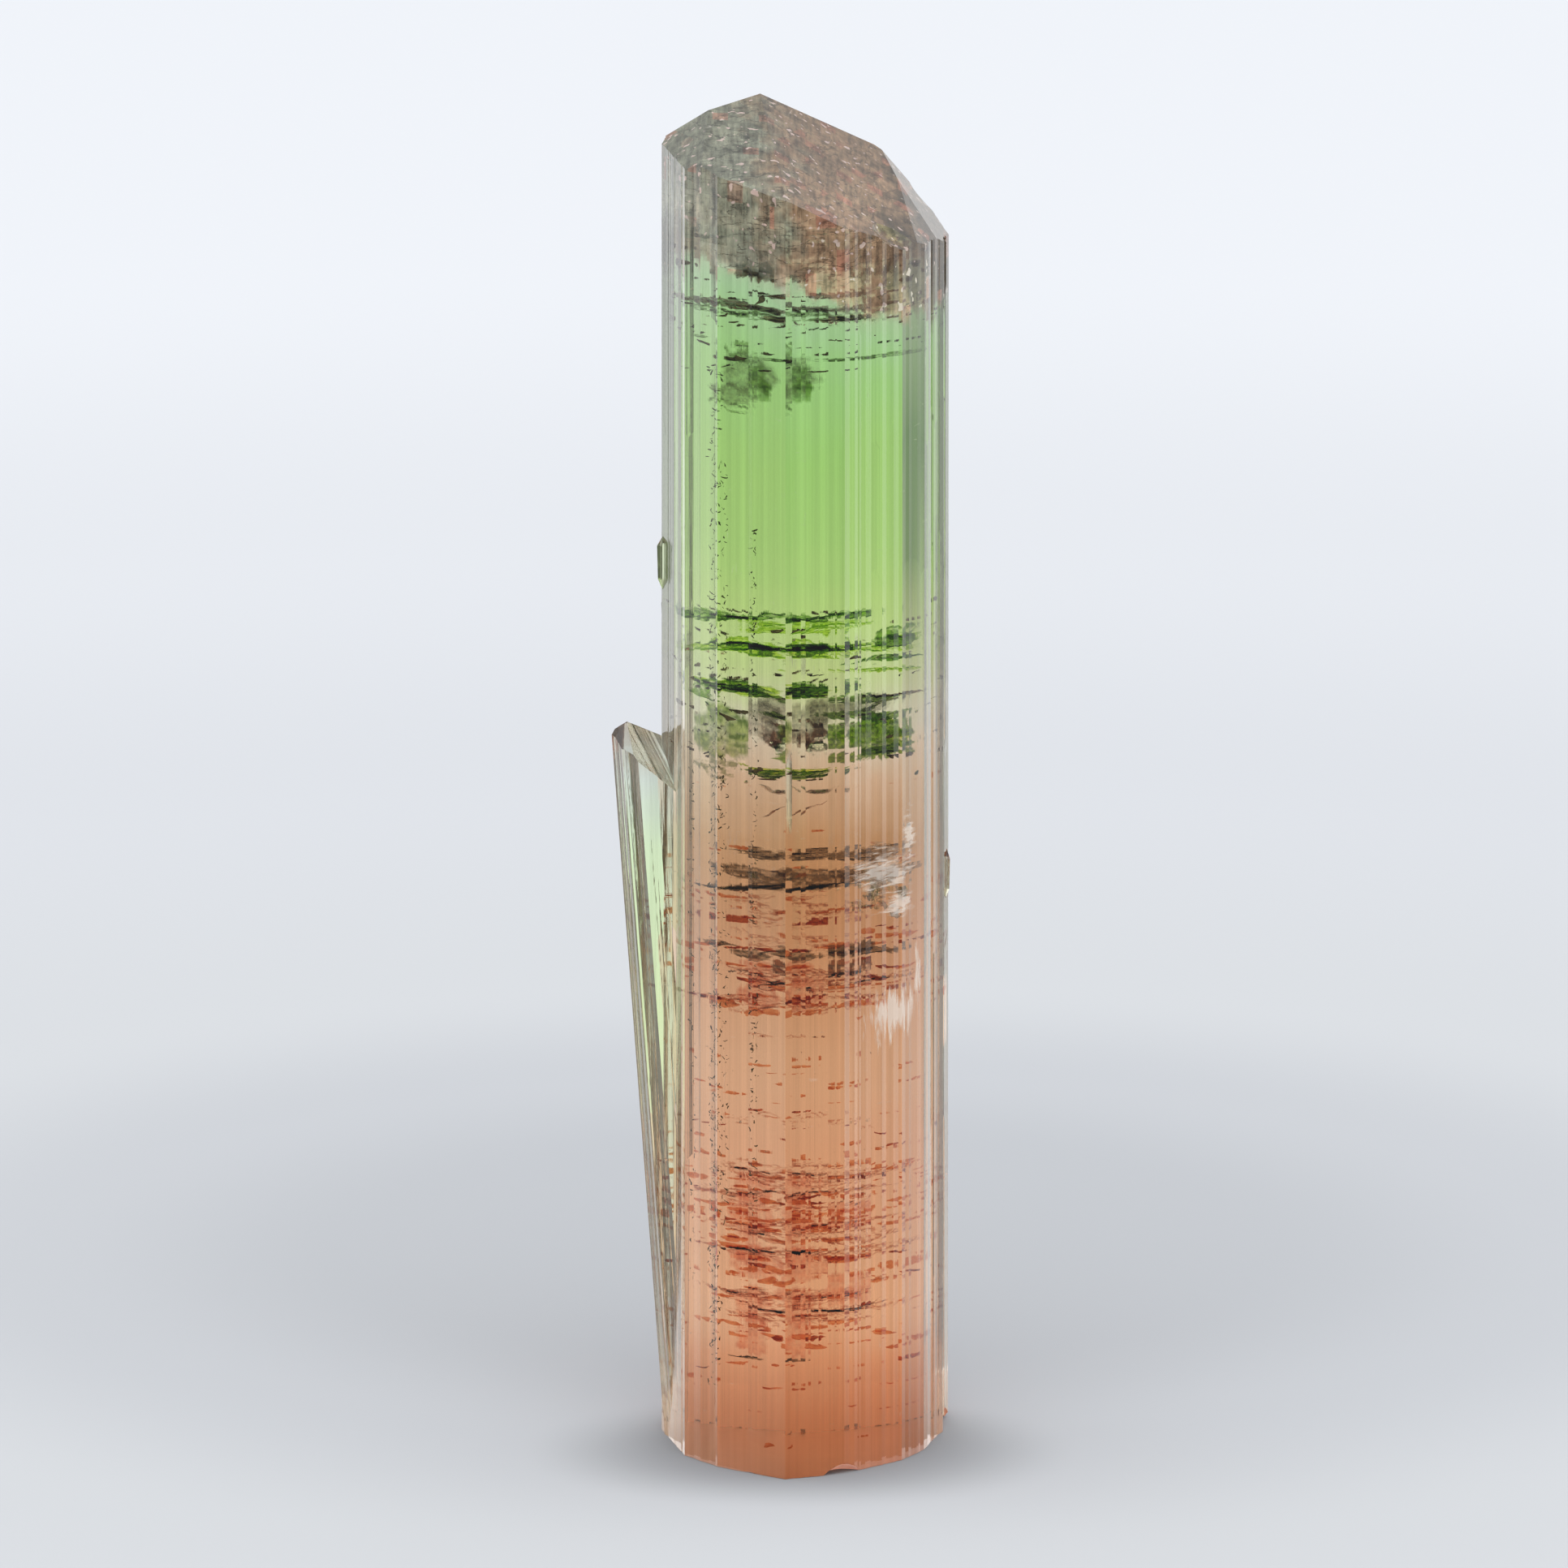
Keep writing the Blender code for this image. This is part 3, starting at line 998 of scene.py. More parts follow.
@dataclass
class Prism:
    """One crystal's striated prism, cut by its crown and its broken base."""

    section: tuple[Face, ...]
    ledges: tuple[float, ...]
    crown: tuple[CrownFace, ...]
    bottom: float
    top: float
    taper: bool
    seed: int
    lean: float = 0.0
    foot: tuple[float, float] = (0.0, 0.0)
    # Each stria is a flat strip with a short riser; at a ledge some of them step in or out
    riser: tuple[float, float] = (0.05, 0.20)
    riser_share: float = 0.3
    strip_widths: tuple[float, float] = (0.25, 1.0)
    # Broad faces carry facets instead, which tilt by up to so many degrees
    broad: tuple[int, ...] = ()
    facet_widths: tuple[float, float] = (0.15, 1.0)
    facet_tilt: float = 10.0
    inset: tuple[float, float] = (0.25, 1.0)
    tip_in: float = 0.35
    ledge_share: float = 0.16
    ledge_change: float = 0.4
    ledge_rise: float = 0.15
    ledge_wander: float = 2.4
    # How often the ledges wander, per mm
    ledge_grain: float = 1.7

    def outline(self, rng: random.Random) -> list[tuple[Vector, Vector, float]]:
        """The section as flat strips: for each point its place, inward way and depth.

        Args:
            rng: the seeded source of the uneven widths and depths.

        Returns:
            The points in order round the section.
        """
        points = []
        for index, (x, y, strips, depth) in enumerate(self.section):
            start = Vector((x, y))
            end = Vector(self.section[(index + 1) % len(self.section)][:2])
            along = end - start
            inward = Vector((-along.y, along.x)).normalized()
            widths = [rng.uniform(*self.strip_widths) ** 2 for _ in range(strips)]
            total, reached = sum(widths), 0.0
            points.append((start, inward, depth * self.inset[0]))
            if index in self.broad:
                points += self.facets(rng, start, along, inward, strips, depth)
                continue
            for number, width in enumerate(widths):
                level = rng.uniform(*self.inset) * depth
                tipped = level + rng.uniform(-self.tip_in, self.tip_in) * depth
                # The risers at its two ends take at most a share of its width each
                slack = self.riser_share * width / total
                first = reached / total + min(slack, rng.uniform(*self.riser) / along.length / 2)
                reached += width
                last = reached / total - min(slack, rng.uniform(*self.riser) / along.length / 2)
                if number:
                    points.append((start + along * first, inward, max(0.0, level)))
                if number < strips - 1:
                    points.append((start + along * last, inward, max(0.0, tipped)))
        return points

    def facets(
        self,
        rng: random.Random,
        start: Vector,
        along: Vector,
        inward: Vector,
        strips: int,
        depth: float,
    ) -> list[tuple[Vector, Vector, float]]:
        """A broad face's striae: facets that tilt a little to and fro.

        Args:
            rng: the seeded source of the widths and tilts.
            start: the face's first corner.
            along: the way to its second corner.
            inward: the way into the crystal.
            strips: the number of facets.
            depth: the depth they stay within.

        Returns:
            The points between the face's two corners: place, inward way and depth.
        """
        widths = [rng.uniform(*self.facet_widths) for _ in range(strips)]
        reached, level = 0.0, self.inset[0] * depth
        points = []
        for width in widths[:-1]:
            share = width / sum(widths)
            reached += share
            tilt = math.radians(rng.uniform(-1.0, 1.0) * self.facet_tilt)
            step = along.length * share * math.tan(tilt)
            level = level + step if 0.0 <= level + step <= depth else level - step
            level = min(depth, max(0.0, level))
            points.append((start + along * reached, inward, level))
        return points

    def mesh(self) -> bmesh.types.BMesh:
        """The closed prism in millimetres, crown and base cut.

        Returns:
            The mesh, with outward faces.
        """
        rng = random.Random(self.seed)
        outline = self.outline(rng)
        depths = [depth for _, _, depth in outline]
        bm = bmesh.new()
        rows = []
        heights: list[tuple[float, bool]] = [(self.bottom, False)]
        for ledge in self.ledges:
            heights += [(ledge, False), (ledge + 2 * self.ledge_rise, True)]
        heights.append((self.top, False))
        for height, stepped in heights:
            if stepped:
                depths = [
                    depth
                    if rng.random() > self.ledge_share
                    else max(0.0, depth * (1 + rng.uniform(-self.ledge_change, self.ledge_change)))
                    for depth in depths
                ]
            row = []
            for (point, inward, _), depth in zip(outline, depths):
                level = height
                if height not in (self.bottom, self.top):
                    where = Vector((*(point * self.ledge_grain), self.seed))
                    level += self.ledge_wander * noise.noise(where)
                spot = (point + inward * depth) * (grown(level) if self.taper else 1.0)
                row.append(bm.verts.new((spot.x, spot.y, level)))
            rows.append(row)
        count = len(outline)
        for lower, upper in zip(rows, rows[1:]):
            for i in range(count):
                j = (i + 1) % count
                bm.faces.new((lower[i], lower[j], upper[j], upper[i]))
        bm.faces.new(reversed(rows[0]))
        bm.faces.new(rows[-1])
        if self.lean:
            leant = Matrix.Rotation(math.radians(-self.lean), 4, "Y")
            place = Matrix.Translation((*self.foot, 0.0)) @ leant
            bmesh.ops.transform(bm, matrix=place, verts=bm.verts)
        for point, facing, slope in self.crown:
            cut_flat(bm, point, slope_normal(facing, slope))
        cut_flat(bm, (0.0, 0.0, 0.0), Vector((0.0, 0.0, -1.0)))
        bmesh.ops.recalc_face_normals(bm, faces=bm.faces)
        return bm


@dataclass
class CrystalBody:
    """The whole clear crystal: both prisms and the slivers in one skin, less its chips."""

    finish: TourmalineFinish = field(default_factory=TourmalineFinish)
    chip_cuts: int = 4
    chip_ripple: float = 0.04
    # A face is the side crystal's where it lies so far outside the main prism, below this
    # height and left of this x, all in mm
    side_gap: float = 0.06
    side_top: float = 43.6
    side_right: float = -4.0
    # A flank's normal rises no more than this, save below this height, where all are flanks
    flank_rise: float = 0.3
    flank_top: float = 66.0
    # The break's faces lie below this height and face down by more than this
    break_top: float = 1.2
    break_fall: float = 0.3
    # Growth sectors tinted apart, by the number of their face in the section: heights in
    # mm, the tint there and how far it takes over from the bands. The dark tints of face 2
    # are painted shade, and the pale tints of faces 3, 4 and 11 are painted reflections
    growth_and_painted_shade_tints: dict[int, tuple[tuple[float, str, float], ...]] = field(
        default_factory=lambda: {
            0: (
                (0, "d07440", 0.35),
                (20, "dc945c", 0.4),
                (41, "bc7c44", 0.5),
                (44, "b4c47c", 0.2),
                (60, "84c858", 0.4),
                (70, "98d0a0", 0.0),
            ),
            2: (
                (0, "986038", 0.6),
                (30, "b07c54", 0.55),
                (42, "a08a60", 0.6),
                (51, "7c8450", 0.6),
                (54, "223a0c", 0.96),
                (66, "26401c", 0.96),
                (72, "8c8c70", 0.8),
            ),
            3: (
                (0, "ccb094", 0.75),
                (32, "ccb498", 0.75),
                (42, "b49c7c", 0.8),
                (54, "7c9c50", 0.9),
                (66, "88a468", 0.9),
                (80, "bcc0b4", 0.8),
            ),
            4: ((0, "fcf6e8", 0.9), (40, "f0ecdc", 0.9), (60, "d8dcc8", 0.8), (80, "c4c8be", 0.8)),
            9: ((0, "ece4d0", 0.25), (40, "e4e8d4", 0.2), (80, "c4c6bc", 0.2)),
            10: ((0, "f4e4d0", 0.4), (60, "dce4cc", 0.4), (80, "c8ccc2", 0.5)),
            11: (
                (0, "fffcf4", 0.95),
                (40, "fcfcf0", 0.95),
                (56, "dce4c8", 0.85),
                (80, "c4c6bc", 0.8),
            ),
            12: (
                (0, "d8b090", 0.6),
                (30, "dcb898", 0.5),
                (42, "ccd4b4", 0.5),
                (70, "c4d2b8", 0.5),
                (80, "bcbcb0", 0.5),
            ),
            13: (
                (0, "f4b896", 0.45),
                (10, "f0c0a0", 0.45),
                (30, "e4b490", 0.4),
                (40, "e0c0a0", 0.3),
                (44, "d0d0b0", 0.0),
            ),
        }
    )

    def chip(self, name: str, centre: Vector, radius: float) -> bpy.types.Object:
        """A rippled ball that scoops a conchoidal flake out of an edge.

        Args:
            name: the ball's name.
            centre: its centre in mm.
            radius: its radius in mm.

        Returns:
            The ball.
        """
        bm = bmesh.new()
        bmesh.ops.create_icosphere(bm, subdivisions=self.chip_cuts, radius=radius)
        for vert in bm.verts:
            ripple = math.sin(vert.co.x * 9.0 / radius) + noise.noise(vert.co * 2.2 + centre)
            vert.co *= 1.0 - self.chip_ripple * (0.5 + 0.25 * ripple)
        bmesh.ops.translate(bm, vec=centre, verts=bm.verts)
        return finished(name, bm)

    def sliver(self, name: str, centre: Vector, width: float, height: float) -> bpy.types.Object:
        """A small doubly pointed crystal, half sunk in the flank it grew on.

        Args:
            name: its name.
            centre: its centre in mm.
            width: its width in mm.
            height: its length in mm, upright.

        Returns:
            The sliver.
        """
        bm = bmesh.new()
        shoulder = 0.30 * height
        rows = []
        for level, share in ((-shoulder, 0.85), (shoulder, 1.0)):
            row = []
            for side in range(SLIVER_SIDES):
                turn = math.tau * (side + 0.5) / SLIVER_SIDES
                radius = 0.5 * width * share
                row.append(bm.verts.new((radius * math.cos(turn), radius * math.sin(turn), level)))
            rows.append(row)
        foot = bm.verts.new((0.0, 0.0, -height / 2))
        tip = bm.verts.new((0.12 * width, 0.0, height / 2))
        for i in range(SLIVER_SIDES):
            j = (i + 1) % SLIVER_SIDES
            bm.faces.new((rows[0][i], rows[0][j], rows[1][j], rows[1][i]))
            bm.faces.new((foot, rows[0][j], rows[0][i]))
            bm.faces.new((tip, rows[1][i], rows[1][j]))
        bmesh.ops.translate(bm, vec=centre, verts=bm.verts)
        return finished(name, bm)

    def face_tint_and_painted_shade(self, face: int, height: float) -> tuple[float, float, float, float]:
        """A growth sector's tint at a height, with its strength as alpha. It holds painted shade
        on face 2 and painted reflections on faces 3, 4 and 11.

        Args:
            face: the face's number in the section.
            height: the height in mm.

        Returns:
            The colour, see-through where the sector isn't tinted apart.
        """
        stops = self.growth_and_painted_shade_tints.get(face)
        if not stops:
            return (1.0, 1.0, 1.0, 0.0)
        values = [(level, linear(code, strength)) for level, code, strength in stops]
        for (low, before), (high, after) in zip(values, values[1:]):
            if height <= high:
                share = max(0.0, (height - low) / (high - low))
                return tuple(a + (b - a) * share for a, b in zip(before, after))
        return values[-1][1]

    def paint_face_tints_and_shade(self, mesh: bpy.types.Mesh) -> None:
        """Marks each face with its growth sector's tint and painted shade, the side crystal and
        the break.

        Args:
            mesh: the body's mesh, with its two materials.
        """
        mesh.attributes.new("face_tint_and_painted_shade", "FLOAT_COLOR", "CORNER")
        mesh.attributes.new("side_growth", "FLOAT", "CORNER")
        tints, side = mesh.attributes["face_tint_and_painted_shade"], mesh.attributes["side_growth"]
        planes = main_planes()[: len(MAIN_SECTION)]
        for polygon in mesh.polygons:
            centre = polygon.center / MM
            size = grown(centre.z) / grown(CRYSTAL_HEIGHT / 2)
            outside = [normal.dot(centre) - reach * size for normal, reach in planes]
            nearest = max(range(len(planes)), key=lambda k: outside[k])
            left_below = centre.z < self.side_top and centre.x < self.side_right
            on_side = outside[nearest] > self.side_gap and left_below
            upright = abs(polygon.normal.z) < self.flank_rise or centre.z < self.flank_top
            face = nearest if upright and not on_side else NO_FACE
            downward = polygon.normal.z < -self.break_fall
            polygon.material_index = int(centre.z < self.break_top and downward)
            for corner in polygon.loop_indices:
                height = mesh.vertices[mesh.loops[corner].vertex_index].co.z / MM
                tints.data[corner].color = self.face_tint_and_painted_shade(face, height)
                side.data[corner].value = float(on_side)

    def build(self) -> bpy.types.Object:
        """Joins the prisms and slivers, breaks the chips off and dresses the result.

        Returns:
            The crystal's body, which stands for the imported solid.
        """
        main = Prism(
            MAIN_SECTION,
            MAIN_LEDGES,
            MAIN_CROWN,
            -OVERCUT,
            CRYSTAL_HEIGHT + OVERCUT,
            True,
            SEED,
            broad=BROAD_FACES,
        )
        side = Prism(
            SIDE_SECTION,
            SIDE_LEDGES,
            SIDE_CROWN,
            -OVERCUT,
            SIDE_APEX[2] + OVERCUT,
            False,
            SEED + 1,
            lean=SIDE_LEAN,
            foot=SIDE_FOOT,
        )
        body = finished("clear_crystal", main.mesh())
        helpers = [(finished("side_prism", side.mesh()), "UNION")]
        for number, (centre, width, height) in enumerate(SLIVERS, 1):
            helpers.append(
                (self.sliver(f"sliver_{number}", Vector(centre), width, height), "UNION"),
            )
        for number, (x, y, radius, rise) in enumerate(BASE_CHIPS, 1):
            ball = self.chip(f"base_chip_{number}", Vector((x, y, rise - radius)), radius)
            helpers.append((ball, "DIFFERENCE"))
        for number, (centre, radius) in enumerate(CROWN_CHIPS, 1):
            helpers.append(
                (self.chip(f"crown_chip_{number}", Vector(centre), radius), "DIFFERENCE"),
            )
        for helper, operation in helpers:
            helper.hide_render = True
            modifier = body.modifiers.new(helper.name, "BOOLEAN")
            modifier.operation = operation
            modifier.solver = "EXACT"
            modifier.object = helper
        mesh = applied(body)
        for helper, _ in helpers:
            bpy.data.objects.remove(helper, do_unlink=True)
        low, high = SOLID_BOX
        for vert in mesh.vertices:
            vert.co = Vector(max(a, min(b, c)) for a, b, c in zip(low, high, vert.co))
        mesh.materials.clear()
        mesh.materials.append(self.finish.material())
        mesh.materials.append(self.finish.break_material())
        self.paint_face_tints_and_shade(mesh)
        return body


@dataclass
class CrackSheet:
    """One wavy crack inside the crystal: a thin closed sheet with a ragged rim.

    It lies square to its normal, which leans off upright by `slope` towards `facing`.
    """

    centre: Vector
    radii: tuple[float, float]
    slope: float
    facing: float
    wave: float
    seed: int
    # How far its middle rises over its left and right ends, in mm
    bow: float = 0.0
    ripple: float = 0.05
    ragged: float = 0.35
    thickness: float = 0.03
    around: int = 88
    rings: int = 18
    margin: float = 0.35
    # How fine the rim's tears, the swell and the ripples are: the first over the turn, the
    # second per mm, the last in radians per mm and bent by the swell
    rim_grain: float = 1.6
    swell_grain: float = 0.16
    ripple_grain: float = 5.0
    ripple_bend: float = 4.0
    # The lining thins out from this share of the way to the rim
    thins_from: float = 0.7

    def swell(self, spot: Vector, offset: Vector) -> float:
        """How far the sheet swells off its plane at a spot, in mm."""
        return self.wave * noise.fractal(spot * self.swell_grain + offset, 0.8, 2.1, 4)

    def kept_in(self, spot: Vector, planes: list[tuple[Vector, float]]) -> Vector:
        """Pushes a spot back to the margin where it lies beyond one of the planes.

        Args:
            spot: the spot in mm.
            planes: the crystal's faces.

        Returns:
            The spot, within all of them.
        """
        for plane, limit in planes:
            spot = spot - plane * max(0.0, plane.dot(spot) - limit + self.margin)
        return spot

    def add_to(self, bm: bmesh.types.BMesh, planes: list[tuple[Vector, float]]) -> None:
        """Adds the sheet to a mesh in millimetres.

        Args:
            bm: the mesh, which has a float layer named rim.
            planes: the crystal's faces, which the sheet stays within.
        """
        rim = bm.verts.layers.float["rim"]
        normal = slope_normal(self.facing, self.slope)
        across = Vector((1.0, 0.0, 0.0))
        across = (across - normal * across.dot(normal)).normalized()
        along = normal.cross(across)
        offset = Vector((self.seed * 7.3, self.seed * 3.1, self.seed * 1.7))
        tops, bottoms = [], []
        for ring in range(1, self.rings + 1):
            share = ring / self.rings
            top_row, bottom_row = [], []
            for step in range(self.around):
                turn = math.tau * step / self.around
                cosine, sine = math.cos(turn), math.sin(turn)
                way = across * cosine + along * sine
                shape = Vector((cosine, sine, 0.0))
                reach = 1.0 / math.hypot(cosine / self.radii[0], sine / self.radii[1])
                torn = noise.fractal(shape * self.rim_grain + offset, 0.9, 2.0, 4)
                reach *= 1.0 + self.ragged * torn
                for plane, limit in planes:
                    rate = plane.dot(way)
                    if rate > 1e-6:
                        reach = min(reach, (limit - self.margin - plane.dot(self.centre)) / rate)
                reach = max(reach, 0.02)
                flat = self.centre + way * reach * share
                swell = self.swell(flat, offset)
                swell -= self.bow * ((flat.x - self.centre.x) / self.radii[0]) ** 2
                phase = (flat - self.centre).length * self.ripple_grain + self.ripple_bend * swell
                rings = self.ripple * math.sin(phase)
                thick = self.thickness * (1.0 - share * share) / 2
                spot = self.kept_in(flat + normal * (swell + rings), planes)
                for row, lift in ((top_row, thick), (bottom_row, -thick)):
                    # The two sides share the rim's points
                    shared = share == 1.0 and row is bottom_row
                    vert = top_row[step] if shared else bm.verts.new(spot + normal * lift)
                    thinned = max(0.0, share - self.thins_from) / (1.0 - self.thins_from)
                    vert[rim] = 0.5 - 0.55 * thinned
                    row.append(vert)
            tops.append(top_row)
            bottoms.append(bottom_row)
        middle = self.kept_in(self.centre + normal * self.swell(self.centre, offset), planes)
        half = self.thickness / 2
        for rows, lift, flip in ((tops, half, False), (bottoms, -half, True)):
            hub = bm.verts.new(middle + normal * lift)
            hub[rim] = 0.5
            for step in range(self.around):
                after = (step + 1) % self.around
                faces = [(hub, rows[0][step], rows[0][after])]
                for inner, outer in zip(rows, rows[1:]):
                    faces.append((inner[step], outer[step], outer[after], inner[after]))
                for corners in faces:
                    bm.faces.new(tuple(reversed(corners)) if flip else corners)


@dataclass
class CrackSet:
    """All cracks that share one lining, as one piece."""

    name: str
    film: Film
    sheets: list[CrackSheet]

    def build(self) -> bpy.types.Object:
        """Builds the piece.

        Returns:
            The piece.
        """
        bm = bmesh.new()
        bm.verts.layers.float.new("rim")
        planes = main_planes()
        for sheet in self.sheets:
            sheet.add_to(bm, planes)
        return finished(self.name, bm, self.film.value.material())


@dataclass(frozen=True)
class Swarm:
    """A box full of small flakes: how many, where and of what size, in mm."""

    count: int
    low: tuple[float, float, float]
    high: tuple[float, float, float]
    length: tuple[float, float]
    # Width and thickness as shares of the length, tilt in degrees and bend
    width: float = 0.7
    thickness: float = 0.05
    tilt: float = 10.0
    bend: float = 0.25
    seed: int = 1


@dataclass
class FlakeSet:
    """Many small flakes of one finish, scattered by Geometry Nodes, as one piece."""

    name: str
    finish: "FlakeFinish"
    swarms: list[Swarm]
    # How far within the clear body's skin every flake stays, in mm
    margin: float = 0.12

    def tree(self, material: bpy.types.Material) -> bpy.types.GeometryNodeTree:
        """Builds the node tree that adds one swarm to what it is given.

        Args:
            material: the flakes' material.

        Returns:
            The tree, with its named inputs.
        """
        tree = bpy.data.node_groups.new(f"{self.name}_swarm", "GeometryNodeTree")
        face = tree.interface
        face.new_socket("Geometry", in_out="INPUT", socket_type="NodeSocketGeometry")
        face.new_socket("Count", in_out="INPUT", socket_type="NodeSocketInt")
        for name in ("Low", "High"):
            face.new_socket(name, in_out="INPUT", socket_type="NodeSocketVector")
        for name in ("Shortest", "Longest", "Width", "Thickness", "Tilt", "Bend"):
            face.new_socket(name, in_out="INPUT", socket_type="NodeSocketFloat")
        face.new_socket("Seed", in_out="INPUT", socket_type="NodeSocketInt")
        face.new_socket("Geometry", in_out="OUTPUT", socket_type="NodeSocketGeometry")
        given = add(tree, "NodeGroupInput").outputs
        spread = add(
            tree,
            "FunctionNodeRandomValue",
            {"Min": given["Low"], "Max": given["High"], "Seed": given["Seed"]},
            data_type="FLOAT_VECTOR",
        )
        points = add(
            tree,
            "GeometryNodePoints",
            {"Count": given["Count"], "Position": spread.outputs["Value"]},
        )
        # One flake: a flattened, bent ball one unit long
        ball = add(
            tree,
            "GeometryNodeMeshUVSphere",
            {"Segments": FLAKE_SIDES, "Rings": FLAKE_RINGS, "Radius": 0.5},
        )
        spot = add(tree, "GeometryNodeInputPosition")
        parts = add(tree, "ShaderNodeSeparateXYZ", {0: spot.outputs[0]})
        square = worked(tree, "MULTIPLY", parts.outputs["X"], parts.outputs["X"])
        lift = worked(tree, "MULTIPLY", square, given["Bend"])
        flat_y = worked(tree, "MULTIPLY", parts.outputs["Y"], given["Width"])
        flat_z = worked(tree, "MULTIPLY_ADD", parts.outputs["Z"], given["Thickness"], lift)
        shaped = add(
            tree,
            "ShaderNodeCombineXYZ",
            {"X": parts.outputs["X"], "Y": flat_y, "Z": flat_z},
        )
        flake = add(
            tree,
            "GeometryNodeSetPosition",
            {"Geometry": ball.outputs["Mesh"], "Position": shaped.outputs[0]},
        )
        size = add(
            tree,
            "FunctionNodeRandomValue",
            {2: given["Shortest"], 3: given["Longest"], "Seed": given["Seed"]},
            data_type="FLOAT",
        )
        down = worked(tree, "MULTIPLY", given["Tilt"], -1.0)
        least = add(tree, "ShaderNodeCombineXYZ", {"X": down, "Y": down, "Z": 0.0})
        most = add(
            tree,
            "ShaderNodeCombineXYZ",
            {"X": given["Tilt"], "Y": given["Tilt"], "Z": math.tau},
        )
        turn = add(
            tree,
            "FunctionNodeRandomValue",
            {"Min": least.outputs[0], "Max": most.outputs[0], "Seed": given["Seed"]},
            data_type="FLOAT_VECTOR",
        )
        placed = add(
            tree,
            "GeometryNodeInstanceOnPoints",
            {
                "Points": points.outputs[0],
                "Instance": flake.outputs[0],
                "Rotation": turn.outputs["Value"],
                "Scale": size.outputs[1],
            },
        )
        real = add(tree, "GeometryNodeRealizeInstances", {0: placed.outputs[0]})
        # Each flake's outline is made ragged by a coarse noise
        here = add(tree, "GeometryNodeInputPosition")
        rough = add(
            tree,
            "ShaderNodeTexNoise",
            {"Vector": here.outputs[0], "Scale": 1.6 / MM, "Detail": 2.0},
        )
        centred = add(
            tree,
            "ShaderNodeVectorMath",
            {0: rough.outputs["Color"], 1: (0.5, 0.5, 0.5)},
            operation="SUBTRACT",
        )
        nudge = add(
            tree,
            "ShaderNodeVectorMath",
            {0: centred.outputs[0], 1: (1.1 * MM, 1.1 * MM, 0.35 * MM)},
            operation="MULTIPLY",
        )
        torn = add(
            tree,
            "GeometryNodeSetPosition",
            {"Geometry": real.outputs[0], "Offset": nudge.outputs[0]},
        )
        joined = add(tree, "GeometryNodeJoinGeometry")
        tree.links.new(torn.outputs[0], joined.inputs[0])
        tree.links.new(given["Geometry"], joined.inputs[0])
        whole = add(tree, "GeometryNodeRealizeInstances", {0: joined.outputs[0]})
        dressed = add(
            tree,
            "GeometryNodeSetMaterial",
            {"Geometry": whole.outputs[0], "Material": material},
        )
        add(tree, "NodeGroupOutput", {0: dressed.outputs[0]})
        return tree

    def build(self) -> bpy.types.Object:
        """Builds the piece: each swarm is one modifier, applied in turn.

        Returns:
            The piece, as a plain mesh.
        """
        material = self.finish.material()
        piece = finished(self.name, bmesh.new())
        tree = self.tree(material)
        sockets = {
            item.name: item.identifier
            for item in tree.interface.items_tree
            if item.item_type == "SOCKET" and item.in_out == "INPUT"
        }
        for number, swarm in enumerate(self.swarms, 1):
            modifier = piece.modifiers.new(f"swarm_{number}", "NODES")
            modifier.node_group = tree
            values = {
                "Count": swarm.count,
                "Low": [v * MM for v in swarm.low],
                "High": [v * MM for v in swarm.high],
                "Shortest": swarm.length[0] * MM,
                "Longest": swarm.length[1] * MM,
                "Width": swarm.width,
                "Thickness": swarm.thickness,
                "Tilt": math.radians(swarm.tilt),
                "Bend": swarm.bend,
                "Seed": swarm.seed,
            }
            for name, value in values.items():
                modifier[sockets[name]] = value
        mesh = applied(piece)
        mesh.materials.clear()
        mesh.materials.append(material)
        self.drop_outside(mesh)
        return piece

    def drop_outside(self, mesh: bpy.types.Mesh) -> None:
        """Deletes each flake that comes closer to the crystal's skin than the margin.

        Args:
            mesh: the flakes' mesh, in which each flake has the same number of points.
        """
        planes = main_planes()
        bm = bmesh.new()
        bm.from_mesh(mesh)
        outside = set()
        for vert in bm.verts:
            spot = vert.co / MM
            if any(normal.dot(spot) > reach - self.margin for normal, reach in planes):
                outside.add(vert.index // FLAKE_POINTS)
        doomed = [vert for vert in bm.verts if vert.index // FLAKE_POINTS in outside]
        bmesh.ops.delete(bm, geom=doomed, context="VERTS")
        bm.to_mesh(mesh)
        bm.free()


@dataclass(frozen=True)
class FlakeFinish:
    """What a small flake in the crystal is: a sliver of healed crack, a pit or a bubble."""

    name: str
    light: str
    dark: str
    roughness: float
    dye: float = 0.0
    metallic: float = 0.0

    def material(self) -> bpy.types.Material:
        """Builds the material, which varies a little from flake to flake.

        Returns:
            The material.
        """
        material, mm = started(self.name)
        tree = material.node_tree
        grain = mottled(tree, mm, 1.3, 3.0)
        colour = add(tree, "ShaderNodeValToRGB", {"Fac": grain})
        set_ramp(colour, ((0.35, linear(self.dark)), (0.62, linear(self.light))))
        shader = add(
            tree,
            "ShaderNodeBsdfPrincipled",
            {
                "Base Color": colour.outputs["Color"],
                "Roughness": self.roughness,
                "Metallic": self.metallic,
                "Transmission Weight": self.dye,
                "IOR": 1.0 if self.dye else 1.5,
            },
        )
        add(tree, "ShaderNodeOutputMaterial", {"Surface": shader.outputs["BSDF"]})
        return material


